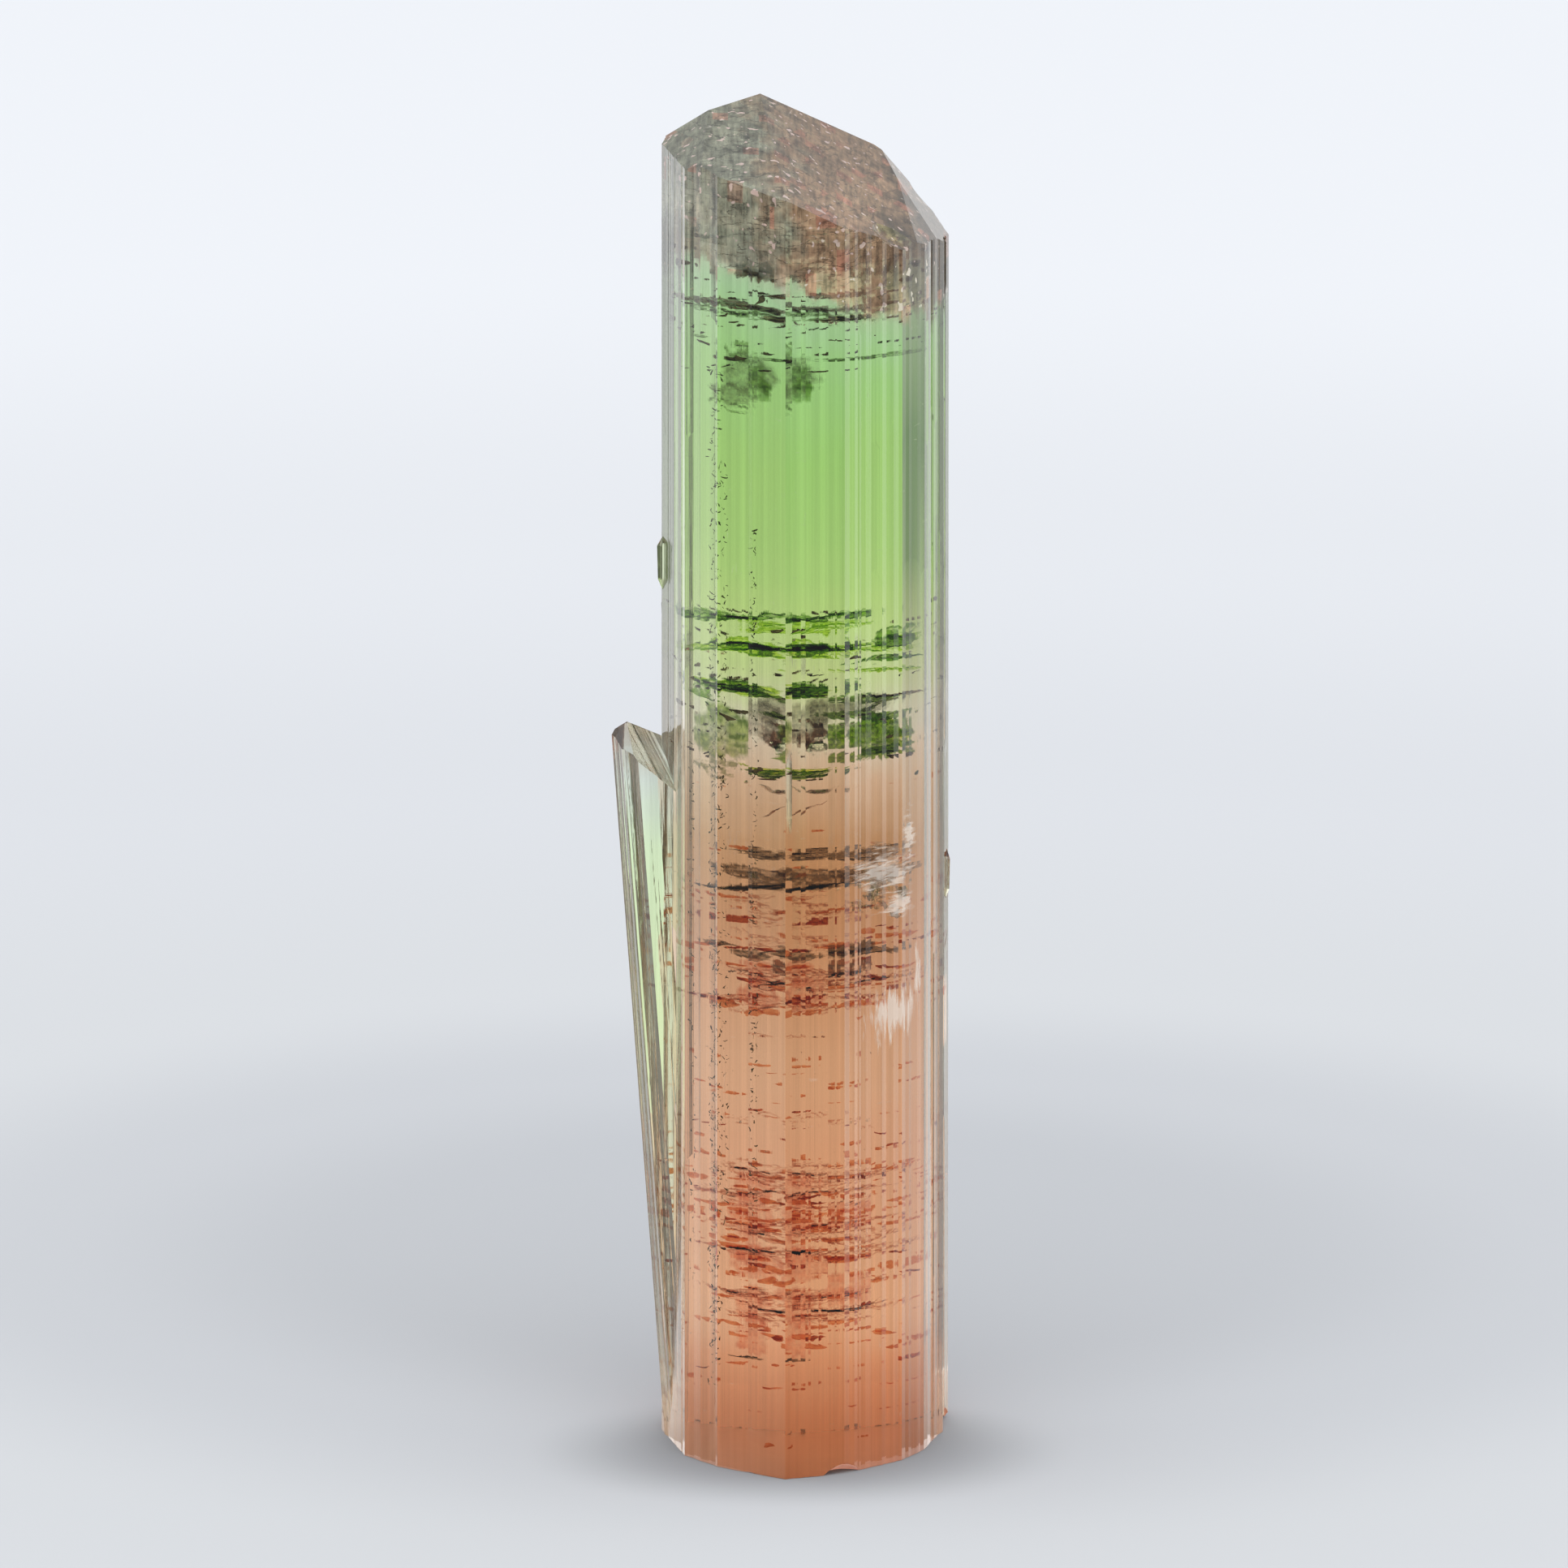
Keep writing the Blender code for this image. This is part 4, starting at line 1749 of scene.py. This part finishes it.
class Flake(Enum):
    """The small things that float in this crystal."""

    # Slivers of healed crack that dye what passes through them; their red-brown is a painted
    # reflection
    WISP = FlakeFinish("wisp_painted_reflection", "f0c09c", "d08c60", 0.25, dye=1.0)
    DEEP = FlakeFinish("dark_wisp_painted_reflection", "d08058", "8c3c1c", 0.25, dye=1.0)
    # Grey-brown slivers under the crown
    ASH = FlakeFinish("grey_brown_sliver", "a89078", "584838", 0.35, dye=0.5)
    # Dark pits that etching left along the striae
    PIT = FlakeFinish("dark_etch_pit", "7c7c54", "504c34", 0.5)
    # Gas bubbles and tiny open cracks: bright points
    GLINT = FlakeFinish("bright_gas_bubble", "ffffff", "ffe8e0", 0.12, metallic=1.0)


@dataclass
class Studio:
    """The stage: a pale floor, an even sky of soft light and the camera."""

    distance: float = 0.766
    sensor: float = 36.0
    lens: float = 300.1
    aim_px: tuple[float, float] = (966.0, 966.0)
    floor_radius: float = 3.0
    # A hair's gap in mm keeps the floor and the crystal's base apart
    floor_gap: float = 0.02
    # The painted shade's centre behind the crystal and its reach, in mm
    shade_y: float = 48.0
    shade_reach: float = 400.0
    # The light table's glow under the base: its radius in mm and its strength
    glow_radius: float = 8.2
    glow: float = 0.9

    def camera(self) -> None:
        """Makes the camera at the photograph's place."""
        rise = math.radians(CAMERA_RISE)
        forward = Vector((0.0, math.cos(rise), -math.sin(rise)))
        up = Vector((0.0, math.sin(rise), math.cos(rise)))
        aim = Vector((0.0, FRONT_EDGE_Y, 0.0)) + up * (PX_BASE - self.aim_px[1]) * PX_MM
        aim.x = (self.aim_px[0] - PX_MIDDLE) * PX_MM
        data = bpy.data.cameras.new("studio_camera")
        data.sensor_width = self.sensor
        data.lens = self.lens
        data.clip_start, data.clip_end = 0.01, 20.0
        camera = bpy.data.objects.new("studio_camera", data)
        camera.location = aim * MM - forward * self.distance
        camera.rotation_euler = (math.radians(90.0) - rise, 0.0, 0.0)
        bpy.context.scene.collection.objects.link(camera)
        bpy.context.scene.camera = camera

    def floor(self) -> None:
        """Makes the pale floor, painted darker under and behind the crystal: painted shadow and
        shade.
        """
        bm = bmesh.new()
        bmesh.ops.create_circle(bm, cap_ends=True, segments=96, radius=self.floor_radius / MM)
        bmesh.ops.translate(bm, vec=(0.0, 0.0, -self.floor_gap), verts=bm.verts)
        floor = finished("studio_floor", bm, self.floor_paint())

    def floor_paint(self) -> bpy.types.Material:
        """Matt pale paper, with a painted contact shadow round the base and painted shade behind
        the crystal. Its own light, which only the crystal sees, is that of the light table
        it lies on.

        Returns:
            The material.
        """
        material, mm = started("pale_paper")
        tree = material.node_tree
        # Painted shade: the paper's colour grows darker towards a centre behind the crystal
        behind = add(
            tree, "ShaderNodeVectorMath", {0: mm, 1: (0.0, self.shade_y, 0.0)}, operation="SUBTRACT"
        )
        far = add(tree, "ShaderNodeVectorMath", {0: behind.outputs["Vector"]}, operation="LENGTH")
        share = worked(tree, "DIVIDE", far.outputs["Value"], self.shade_reach)
        ramp = add(tree, "ShaderNodeValToRGB", {"Fac": share})
        set_ramp(
            ramp,
            (
                (0.07, linear("aaadb2")),
                (0.12, linear("b0b3b8")),
                (0.185, linear("b9bcc0")),
                (0.35, linear("bcbfc4")),
                (0.58, linear("c2c5ca")),
                (0.91, linear("c9ccd1")),
            ),
            "EASE",
        )
        # Painted contact shadow: the paper's colour is made darker in an oval round the base
        near = add(
            tree,
            "ShaderNodeMapping",
            {"Vector": mm, "Location": (0.03, 0.3, 0.0), "Scale": (1 / 10.0, 1 / 8.0, 0.0)},
        )
        reach = add(tree, "ShaderNodeVectorMath", {0: near.outputs["Vector"]}, operation="LENGTH")
        dim = ranged(
            tree,
            reach.outputs["Value"],
            (0.6, 1.7),
            (0.62, 1.0),
            interpolation_type="SMOOTHSTEP",
        )
        colour = add(
            tree,
            "ShaderNodeMix",
            {0: 1.0, 6: ramp.outputs["Color"], 7: dim},
            data_type="RGBA",
            blend_type="MULTIPLY",
        )
        paper = add(tree, "ShaderNodeBsdfDiffuse", {"Color": colour.outputs[2]})
        round_base = add(tree, "ShaderNodeVectorMath", {0: mm}, operation="LENGTH")
        lit = ranged(
            tree,
            round_base.outputs["Value"],
            (4.0, 42.0),
            (0.62, 1.12),
            interpolation_type="SMOOTHSTEP",
        )
        # The table glows behind the crystal, and little before it
        parts = add(tree, "ShaderNodeSeparateXYZ", {"Vector": mm})
        front = ranged(tree, parts.outputs["Y"], (-10.0, 4.0), (0.22, 1.0))
        around = worked(tree, "MULTIPLY", lit, front)
        under = worked(tree, "LESS_THAN", round_base.outputs["Value"], self.glow_radius)
        power = worked(tree, "MULTIPLY_ADD", under, self.glow, around)
        glow = add(tree, "ShaderNodeEmission", {"Color": linear("fbfdff"), "Strength": power})
        path = add(tree, "ShaderNodeLightPath")
        mixed = add(
            tree,
            "ShaderNodeMixShader",
            {
                0: path.outputs["Is Camera Ray"],
                1: glow.outputs["Emission"],
                2: paper.outputs["BSDF"],
            },
        )
        add(tree, "ShaderNodeOutputMaterial", {"Surface": mixed.outputs["Shader"]})
        return material

    def sky(self) -> None:
        """Makes the soft light: a broad box overhead, dimmer walls, and a pale backdrop."""
        world = bpy.data.worlds.new("soft_studio")
        world.use_nodes = True
        bpy.context.scene.world = world
        tree = world.node_tree
        tree.nodes.clear()
        place = add(tree, "ShaderNodeTexCoord")
        split = add(tree, "ShaderNodeSeparateXYZ", {"Vector": place.outputs["Generated"]})
        ramp = add(tree, "ShaderNodeValToRGB", {"Fac": split.outputs["Z"]})
        set_ramp(
            ramp,
            (
                (0.0, grey(0.62)),
                (0.16, grey(0.6)),
                (0.34, grey(0.38)),
                (0.62, grey(0.42)),
                (0.85, grey(1.0)),
            ),
            "EASE",
        )
        # A second soft box high in front lights what lies just under the skin
        ahead = ranged(tree, split.outputs["Y"], (-0.15, -0.6))
        raised = ranged(tree, split.outputs["Z"], (0.1, 0.3))
        box = worked(tree, "MULTIPLY", ahead, raised)
        power = worked(tree, "MULTIPLY_ADD", box, 2.6, 1.6)
        light = add(
            tree,
            "ShaderNodeBackground",
            {"Color": ramp.outputs["Color"], "Strength": power},
        )
        seen = add(tree, "ShaderNodeBackground", {"Color": linear("f1f5fb"), "Strength": 1.0})
        path = add(tree, "ShaderNodeLightPath")
        mixed = add(
            tree,
            "ShaderNodeMixShader",
            {
                0: path.outputs["Is Camera Ray"],
                1: light.outputs["Background"],
                2: seen.outputs["Background"],
            },
        )
        add(tree, "ShaderNodeOutputWorld", {"Surface": mixed.outputs["Shader"]})

    def depth_of_light(self) -> None:
        """Lets light cross the crystal and its cracks often enough, with plain colours."""
        scene = bpy.context.scene
        scene.cycles.max_bounces = 20
        scene.cycles.transmission_bounces = 18
        scene.cycles.glossy_bounces = 8
        scene.cycles.transparent_max_bounces = 28
        scene.view_settings.view_transform = "Standard"

    def build(self) -> None:
        """Makes the whole stage."""
        self.camera()
        self.floor()
        self.sky()
        self.depth_of_light()


def level(
    px: float,
    py: float,
    y: float,
    radii: tuple[float, float],
    wave: float,
    seed: int,
    slope: float = 3.0,
    facing: float = 90.0,
    **more: Any,
) -> CrackSheet:
    """A crack seen nearly edge on at a pixel of the photograph.

    Args:
        px: the pixel's column.
        py: the pixel's row.
        y: how far back its middle lies, in mm.
        radii: its half sizes across and along, in mm.
        wave: how far it swells off its plane, in mm.
        seed: what makes its shape its own.
        slope: how far its plane leans off level, in degrees.
        facing: the way it leans to, in degrees.
        more: other fields of the sheet.

    Returns:
        The sheet.
    """
    return CrackSheet(from_photo(px, py, y), radii, slope, facing, wave, seed, **more)


def green_cracks() -> list[CrackSet]:
    """The cracks between the green and the salmon part, and those above the green.

    Returns:
        One set for each lining.
    """
    moss = [
        level(975, 770, 1.0, (4.4, 4.0), 0.8, 1, 3.0),
        level(1112, 783, 0.0, (1.8, 3.0), 0.7, 2, 0.0),
        level(880, 792, 0.0, (1.4, 2.0), 0.6, 16, 6.6),
        level(865, 846, -2.0, (1.5, 2.0), 0.5, 3, 16.0, -90.0),
        level(985, 851, 0.0, (2.6, 3.5), 0.6, 8, 6.0, 32.0),
        level(1095, 815, 0.0, (2.4, 3.0), 0.6, 17, 4.0),
    ]
    pale_moss = [
        level(1075, 441, 0.5, (3.6, 3.5), 0.25, 7, 6.4, 100.0),
        level(946, 404, 0.0, (2.8, 3.0), 0.9, 9, 6.0, 40.0),
        level(858, 418, -1.5, (1.0, 1.6), 0.2, 12, 6.0),
        level(890, 384, 0.0, (2.4, 2.4), 0.6, 18, 6.0),
        level(990, 392, -1.0, (1.8, 2.0), 0.5, 58, 5.0),
        level(915, 440, -2.0, (1.6, 1.2), 0.6, 59, 40.0, -80.0),
        level(878, 945, -2.0, (1.5, 1.4), 0.5, 66, 30.0, -85.0),
        level(900, 500, -2.0, (1.8, 0.8), 0.6, 60, 20.0, -80.0),
    ]
    deep = [
        level(1004, 800, 0.5, (2.1, 3.6), 0.6, 10, 1.0, -90.0),
        level(940, 804, -1.0, (0.9, 1.4), 0.3, 67, 8.0, -90.0),
        level(1114, 786, -1.0, (1.4, 2.4), 0.5, 19, 4.0, -90.0),
        level(1082, 903, -1.5, (2.8, 2.2), 0.6, 5, 44.0, -66.0),
        level(1084, 928, -0.5, (2.8, 2.4), 0.4, 11, 6.0, -90.0),
        level(1076, 876, 0.5, (2.6, 2.0), 0.6, 20, 8.0, -90.0),
        level(946, 957, -2.0, (2.0, 2.4), 0.3, 6, 2.0, bow=-0.5),
        level(985, 850, 1.0, (2.2, 3.4), 0.5, 27, 2.0),
        level(1080, 862, 0.5, (2.2, 1.4), 0.4, 28, 3.0),
    ]
    haze = [
        level(890, 905, -2.5, (2.2, 2.1), 0.6, 4, 62.0, -90.0),
        level(985, 480, -2.0, (1.0, 1.3), 0.3, 29, 70.0, -85.0),
    ]
    lime = [
        level(992, 800, -1.0, (7.4, 5.0), 0.3, 33, 5.5, bow=1.0),
        level(970, 856, -1.0, (3.4, 4.0), 0.5, 34, 4.0, 38.0),
        level(1090, 827, -1.0, (2.8, 3.0), 0.4, 35, 4.0),
        level(1080, 908, -3.0, (2.6, 1.6), 0.9, 36, 40.0, -66.0, ripple=0.12),
        level(948, 950, -3.0, (2.4, 2.4), 0.3, 37, 4.0, bow=-0.5),
        level(1010, 777, -1.0, (3.0, 3.6), 0.5, 38, 2.0),
        level(1118, 792, -1.5, (1.4, 2.4), 0.5, 40, 0.0),
        level(880, 845, -2.5, (1.4, 1.8), 0.5, 47, 2.0),
        level(940, 805, -1.0, (3.0, 3.0), 0.6, 63, 3.0),
    ]
    clear_air = [
        level(1090, 866, -1.0, (2.6, 2.4), 0.2, 41, 18.0, 155.0),
        level(1008, 925, -3.5, (0.7, 0.7), 0.5, 42, 60.0, -90.0, ripple=0.2),
        level(965, 975, -3.5, (2.0, 1.6), 0.15, 43, 7.0, bow=-0.5, ripple=0.1),
        level(985, 388, 1.0, (5.5, 4.5), 0.6, 44, 6.0, ripple=0.1),
        level(930, 300, 1.0, (4.0, 4.0), 0.9, 45, 4.0, ripple=0.1),
    ]
    return [
        CrackSet("green_shaded_cracks", Film.GREEN_SHADE, moss),
        CrackSet("grey_green_cracks", Film.PALE_GREEN_SHADE, pale_moss),
        CrackSet("deep_green_cracks", Film.DEEP_GREEN_SHADE, deep),
        CrackSet("green_shaded_hazes", Film.SOFT_GREEN_SHADE, haze),
        CrackSet("lime_painted_glint_cracks", Film.YELLOW_GLINT, lime),
        CrackSet("clear_open_cracks", Film.AIR, clear_air),
    ]


def healed_trains(
    trains: tuple[tuple[float, float, float, float], ...], seed: int
) -> list[CrackSheet]:
    """Trains of healed crack, each of two sheets a little apart in height and depth.

    Args:
        trains: the row, middle column, half width and sag of each; the last two in mm.
        seed: what makes the first of them its own.

    Returns:
        The sheets.
    """
    return [
        level(
            px + 9 * side * wide,
            row + 5 * side,
            -0.5 + side,
            (0.6 * wide, 0.7 * wide),
            0.7,
            seed + n + 40 * side,
            5.5,
            bow=-sag,
        )
        for n, (row, px, wide, sag) in enumerate(trains)
        for side in (-1, 1)
    ]


def salmon_cracks() -> list[CrackSet]:
    """The healed and stained cracks of the salmon part.

    Returns:
        One set for each lining, and two for the healed cracks.
    """
    rust = [
        level(994, 898, -3.6, (1.2, 1.5), 0.3, 11, 74.0, -80.0),
        level(1000, 905, -2.8, (0.9, 1.2), 0.3, 54, 66.0, -100.0),
        level(1092, 859, 1.0, (2.4, 2.4), 0.4, 12, 5.0),
        level(993, 998, -4.4, (1.6, 0.6), 0.2, 13, 25.0, 162.0, ragged=0.5),
        level(1030, 400, 0.0, (1.6, 2.6), 0.3, 14, 0.0),
        level(1062, 1190, 0.0, (1.0, 2.0), 0.3, 30, 10.0, -90.0),
    ]
    shade_films = [
        level(985, 1094, -1.0, (4.0, 4.2), 0.4, 22, 4.5, 140.0),
        level(1075, 1175, 1.0, (2.2, 2.2), 0.4, 23, 2.0),
        level(1078, 1050, -1.0, (2.8, 4.0), 0.2, 48, 0.5),
        level(934, 1052, -1.0, (1.9, 4.0), 0.2, 49, 0.5),
        level(1000, 1078, -1.0, (3.2, 2.6), 0.5, 56, 9.0, -80.0),
        level(1085, 1072, 1.0, (2.4, 2.4), 0.4, 57, 6.0, -90.0),
        level(972, 1680, -2.0, (1.5, 1.2), 0.2, 25, 4.0),
        level(880, 1160, -2.0, (1.2, 1.6), 0.3, 26),
        level(1060, 1165, -1.0, (1.6, 1.4), 0.3, 50, 12.0, -90.0),
        level(985, 1180, -1.0, (1.8, 1.4), 0.3, 51, 10.0, -90.0),
    ]
    hatch = [
        level(942, 886, -1.5, (1.5, 1.5), 0.3, 24, 62.0, -90.0),
        level(955, 872, -0.5, (1.6, 1.2), 0.3, 52, 40.0, -90.0),
        level(1075, 865, -1.0, (1.8, 0.9), 0.2, 53, 40.0, -90.0),
        level(925, 468, -3.0, (2.4, 1.6), 0.6, 13, 60.0, -80.0),
        level(905, 492, -2.5, (1.8, 1.6), 0.6, 14, 25.0, -90.0),
    ]
    blush = [
        level(px, row, -2.0, (wide, 0.8 * wide), 0.5, 140 + n, 64.0, -88.0)
        for n, (row, px, wide) in enumerate(
            (
                (1465, 930, 1.9), (1500, 975, 2.2), (1495, 1055, 1.6), (1535, 920, 1.8),
                (1560, 985, 2.2), (1590, 1055, 1.8), (1610, 930, 2.0), (1650, 980, 1.8),
                (1225, 985, 1.8), (1195, 930, 1.6),
            )
        )
    ]
    rose = healed_trains(
        (
            (1112, 960, 3.6, 0.3), (1124, 985, 3.0, 0.4), (1142, 970, 2.8, 0.3),
            (1166, 985, 3.0, -0.2), (1196, 1045, 5.2, -0.4), (1206, 985, 5.4, 0.5),
            (1222, 1000, 4.4, 0.4), (1240, 950, 5.0, 0.6),
        ),
        100,
    )
    root_rose = healed_trains(
        (
            (1380, 960, 1.8, 0.1), (1382, 1062, 1.2, 0.1), (1444, 985, 5.6, 0.4),
            (1462, 1000, 5.8, 0.5), (1480, 950, 5.0, 0.5), (1503, 1065, 2.4, 0.1),
            (1522, 985, 6.0, 0.6), (1546, 985, 6.0, 0.5), (1572, 1060, 2.2, 0.2),
            (1598, 950, 4.6, 0.4), (1610, 985, 5.4, 0.3), (1630, 1000, 4.6, 0.3),
        ),
        108,
    )
    rose.append(level(976, 1276, -3.5, (1.3, 1.8), 0.1, 55, 3.0, ragged=0.15))
    mirror = [
        level(1088, 1098, -4.2, (2.3, 1.3), 0.5, 31, 62.0, -52.0, ripple=0.16),
        level(1062, 1115, -4.4, (1.0, 0.6), 0.3, 32, 50.0, -50.0, ripple=0.12),
        level(925, 1076, -3.5, (0.8, 0.6), 0.3, 46, 30.0, -80.0),
    ]
    white = [
        level(1090, 1085, -4.3, (2.4, 1.0), 0.4, 61, 40.0, -52.0, ripple=0.16),
        level(1088, 1112, -4.3, (2.2, 0.9), 0.4, 62, 30.0, -52.0, ripple=0.16),
        level(1100, 1068, -4.2, (2.0, 0.7), 0.3, 63, 25.0, 190.0, ripple=0.1),
        level(1118, 1022, -3.8, (0.9, 0.8), 0.2, 39, 60.0, -40.0, ripple=0.1),
        level(1112, 1128, -4.0, (1.3, 0.6), 0.2, 65, 60.0, -50.0, ripple=0.1),
    ]
    return [
        CrackSet("iron_stained_cracks", Film.RUST, rust),
        CrackSet("cracks_with_painted_shade", Film.SMOKE, shade_films),
        CrackSet("grey_needle_cracks", Film.HATCH, hatch),
        CrackSet("pore_haze_painted_reflections", Film.BLUSH, blush),
        CrackSet("healed_crack_painted_reflections", Film.ROSE, rose),
        CrackSet("root_healed_cracks", Film.ROSE, root_rose),
        CrackSet("silver_open_cracks", Film.AIR, mirror),
        CrackSet("white_open_cracks", Film.WHITE_AIR, white),
    ]


def crown_cracks() -> list[CrackSet]:
    """The brown sheets and dimming films under the crown: painted reflection and painted shade.

    Returns:
        One set for each lining.
    """
    painted_reflection = [
        level(1075, 350, -1.0, (2.0, 2.6), 0.6, 72, 50.0, -70.0),
        level(990, 330, -2.0, (3.4, 2.6), 0.9, 74, 40.0, -85.0),
        level(1000, 270, -1.0, (3.6, 3.0), 0.9, 75, 30.0, -85.0),
        level(1030, 372, -1.0, (2.6, 3.0), 0.6, 73, 5.0),
    ]
    shade_films = [
        level(880, 300, -1.0, (2.0, 1.6), 0.5, 78, 6.0),
        level(930, 340, -3.0, (1.6, 1.0), 0.5, 79, 40.0, -85.0),
    ]
    return [
        CrackSet("brown_crown_reflections", Film.BROWN_REFLECTION, painted_reflection),
        CrackSet("crown_cracks_with_painted_shade", Film.SMOKE, shade_films),
    ]


def heights(top: float, bottom: float) -> tuple[float, float]:
    """The heights, lower first, of two rows of the photograph at the crystal's middle."""
    return from_photo(PX_MIDDLE, bottom, 0.0).z, from_photo(PX_MIDDLE, top, 0.0).z


def swarm(
    rows: tuple[float, float], count: int, length: tuple[float, float], seed: int, **more: Any
) -> Swarm:
    """A swarm over the whole section between two rows of the photograph.

    Args:
        rows: the upper and the lower row, in pixels.
        count: the number of flakes before those outside are dropped.
        length: the shortest and the longest flake, in mm.
        seed: what makes the swarm its own.
        more: other fields of the swarm.

    Returns:
        The swarm.
    """
    low, high = heights(*rows)
    return Swarm(count, (-7.4, -7.6, low), (7.4, 7.6, high), length, seed=seed, **more)


def column(
    px: float, rows: tuple[float, float], count: int, seed: int, wide: float = 0.35
) -> Swarm:
    """A column of etch pits just under the front, at a column of the photograph.

    Args:
        px: the pixel column.
        rows: the upper and the lower row, in pixels.
        count: the number of pits.
        seed: what makes the column its own.
        wide: its half width in mm.

    Returns:
        The swarm.
    """
    x = (px - PX_MIDDLE) * PX_MM
    low, high = heights(*rows)
    y = max(front_face(x - wide)[0].y, front_face(x + wide)[0].y) + 0.12
    return Swarm(
        count,
        (x - wide, y, low),
        (x + wide, y + 0.15, high),
        (0.08, 0.34),
        width=0.26,
        thickness=0.2,
        tilt=80.0,
        bend=0.6,
        seed=seed,
    )


def flakes() -> list[FlakeSet]:
    """The small slivers, pits and bubbles, by what they are.

    Returns:
        One set for each finish.
    """
    wisps = [
        swarm((1105, 1160), 20, (0.6, 2.0), 1),
        swarm((1160, 1260), 50, (0.4, 2.4), 2),
        swarm((1300, 1430), 22, (0.3, 1.3), 3),
        swarm((1435, 1490), 54, (0.4, 2.0), 4),
        swarm((1490, 1570), 60, (0.4, 2.4), 5),
        swarm((1570, 1690), 54, (0.4, 1.8), 6),
        swarm((960, 1100), 16, (0.3, 1.2), 7),
        swarm((1690, 1780), 14, (0.3, 1.0), 8),
    ]
    deep = [
        swarm((1105, 1260), 22, (0.5, 2.2), 9),
        swarm((1360, 1430), 6, (0.5, 1.3), 10),
        swarm((1435, 1690), 34, (0.4, 1.6), 15),
    ]
    ash = [
        swarm((200, 390), 70, (0.3, 1.6), 12, tilt=25.0),
        swarm((390, 470), 34, (0.3, 1.4), 13, tilt=15.0),
        swarm((760, 960), 50, (0.3, 1.3), 14, tilt=20.0),
    ]
    pits = [
        column(884, (450, 1700), 560, 21, 0.4),
        column(894, (560, 1500), 200, 22, 0.25),
        column(930, (640, 1500), 200, 23, 0.2),
        column(856, (900, 1600), 110, 24, 0.3),
    ]
    glints = [
        swarm((150, 300), 70, (0.08, 0.3), 31, width=1.0, thickness=0.6, tilt=60.0),
        swarm((300, 400), 70, (0.08, 0.35), 32, width=1.0, thickness=0.6, tilt=60.0),
        swarm((770, 960), 40, (0.08, 0.35), 33, width=1.0, thickness=0.5, tilt=60.0),
        swarm((1040, 1600), 30, (0.06, 0.25), 34, width=1.0, thickness=0.5, tilt=60.0),
    ]
    return [
        FlakeSet("wisp_painted_reflections", Flake.WISP.value, wisps),
        FlakeSet("dark_wisp_painted_reflections", Flake.DEEP.value, deep),
        FlakeSet("grey_brown_slivers", Flake.ASH.value, ash),
        FlakeSet("dark_etch_pits", Flake.PIT.value, pits, 0.02),
        FlakeSet("bright_bubbles", Flake.GLINT.value, glints),
    ]


def write_sizes() -> None:
    """Brings the view layer up to date."""
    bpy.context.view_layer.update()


def main() -> None:
    """Builds the stage, the crystal and everything inside it, in order."""
    logging.basicConfig(level=logging.INFO, format="%(name)s: %(message)s")
    Studio().build()
    hand_over(CrystalBody().build(), NODE)
    for crack_set in green_cracks() + salmon_cracks() + crown_cracks():
        hand_over(crack_set.build())
    for flake_set in flakes():
        hand_over(flake_set.build())
    write_sizes()


if __name__ == "__main__":
    main()
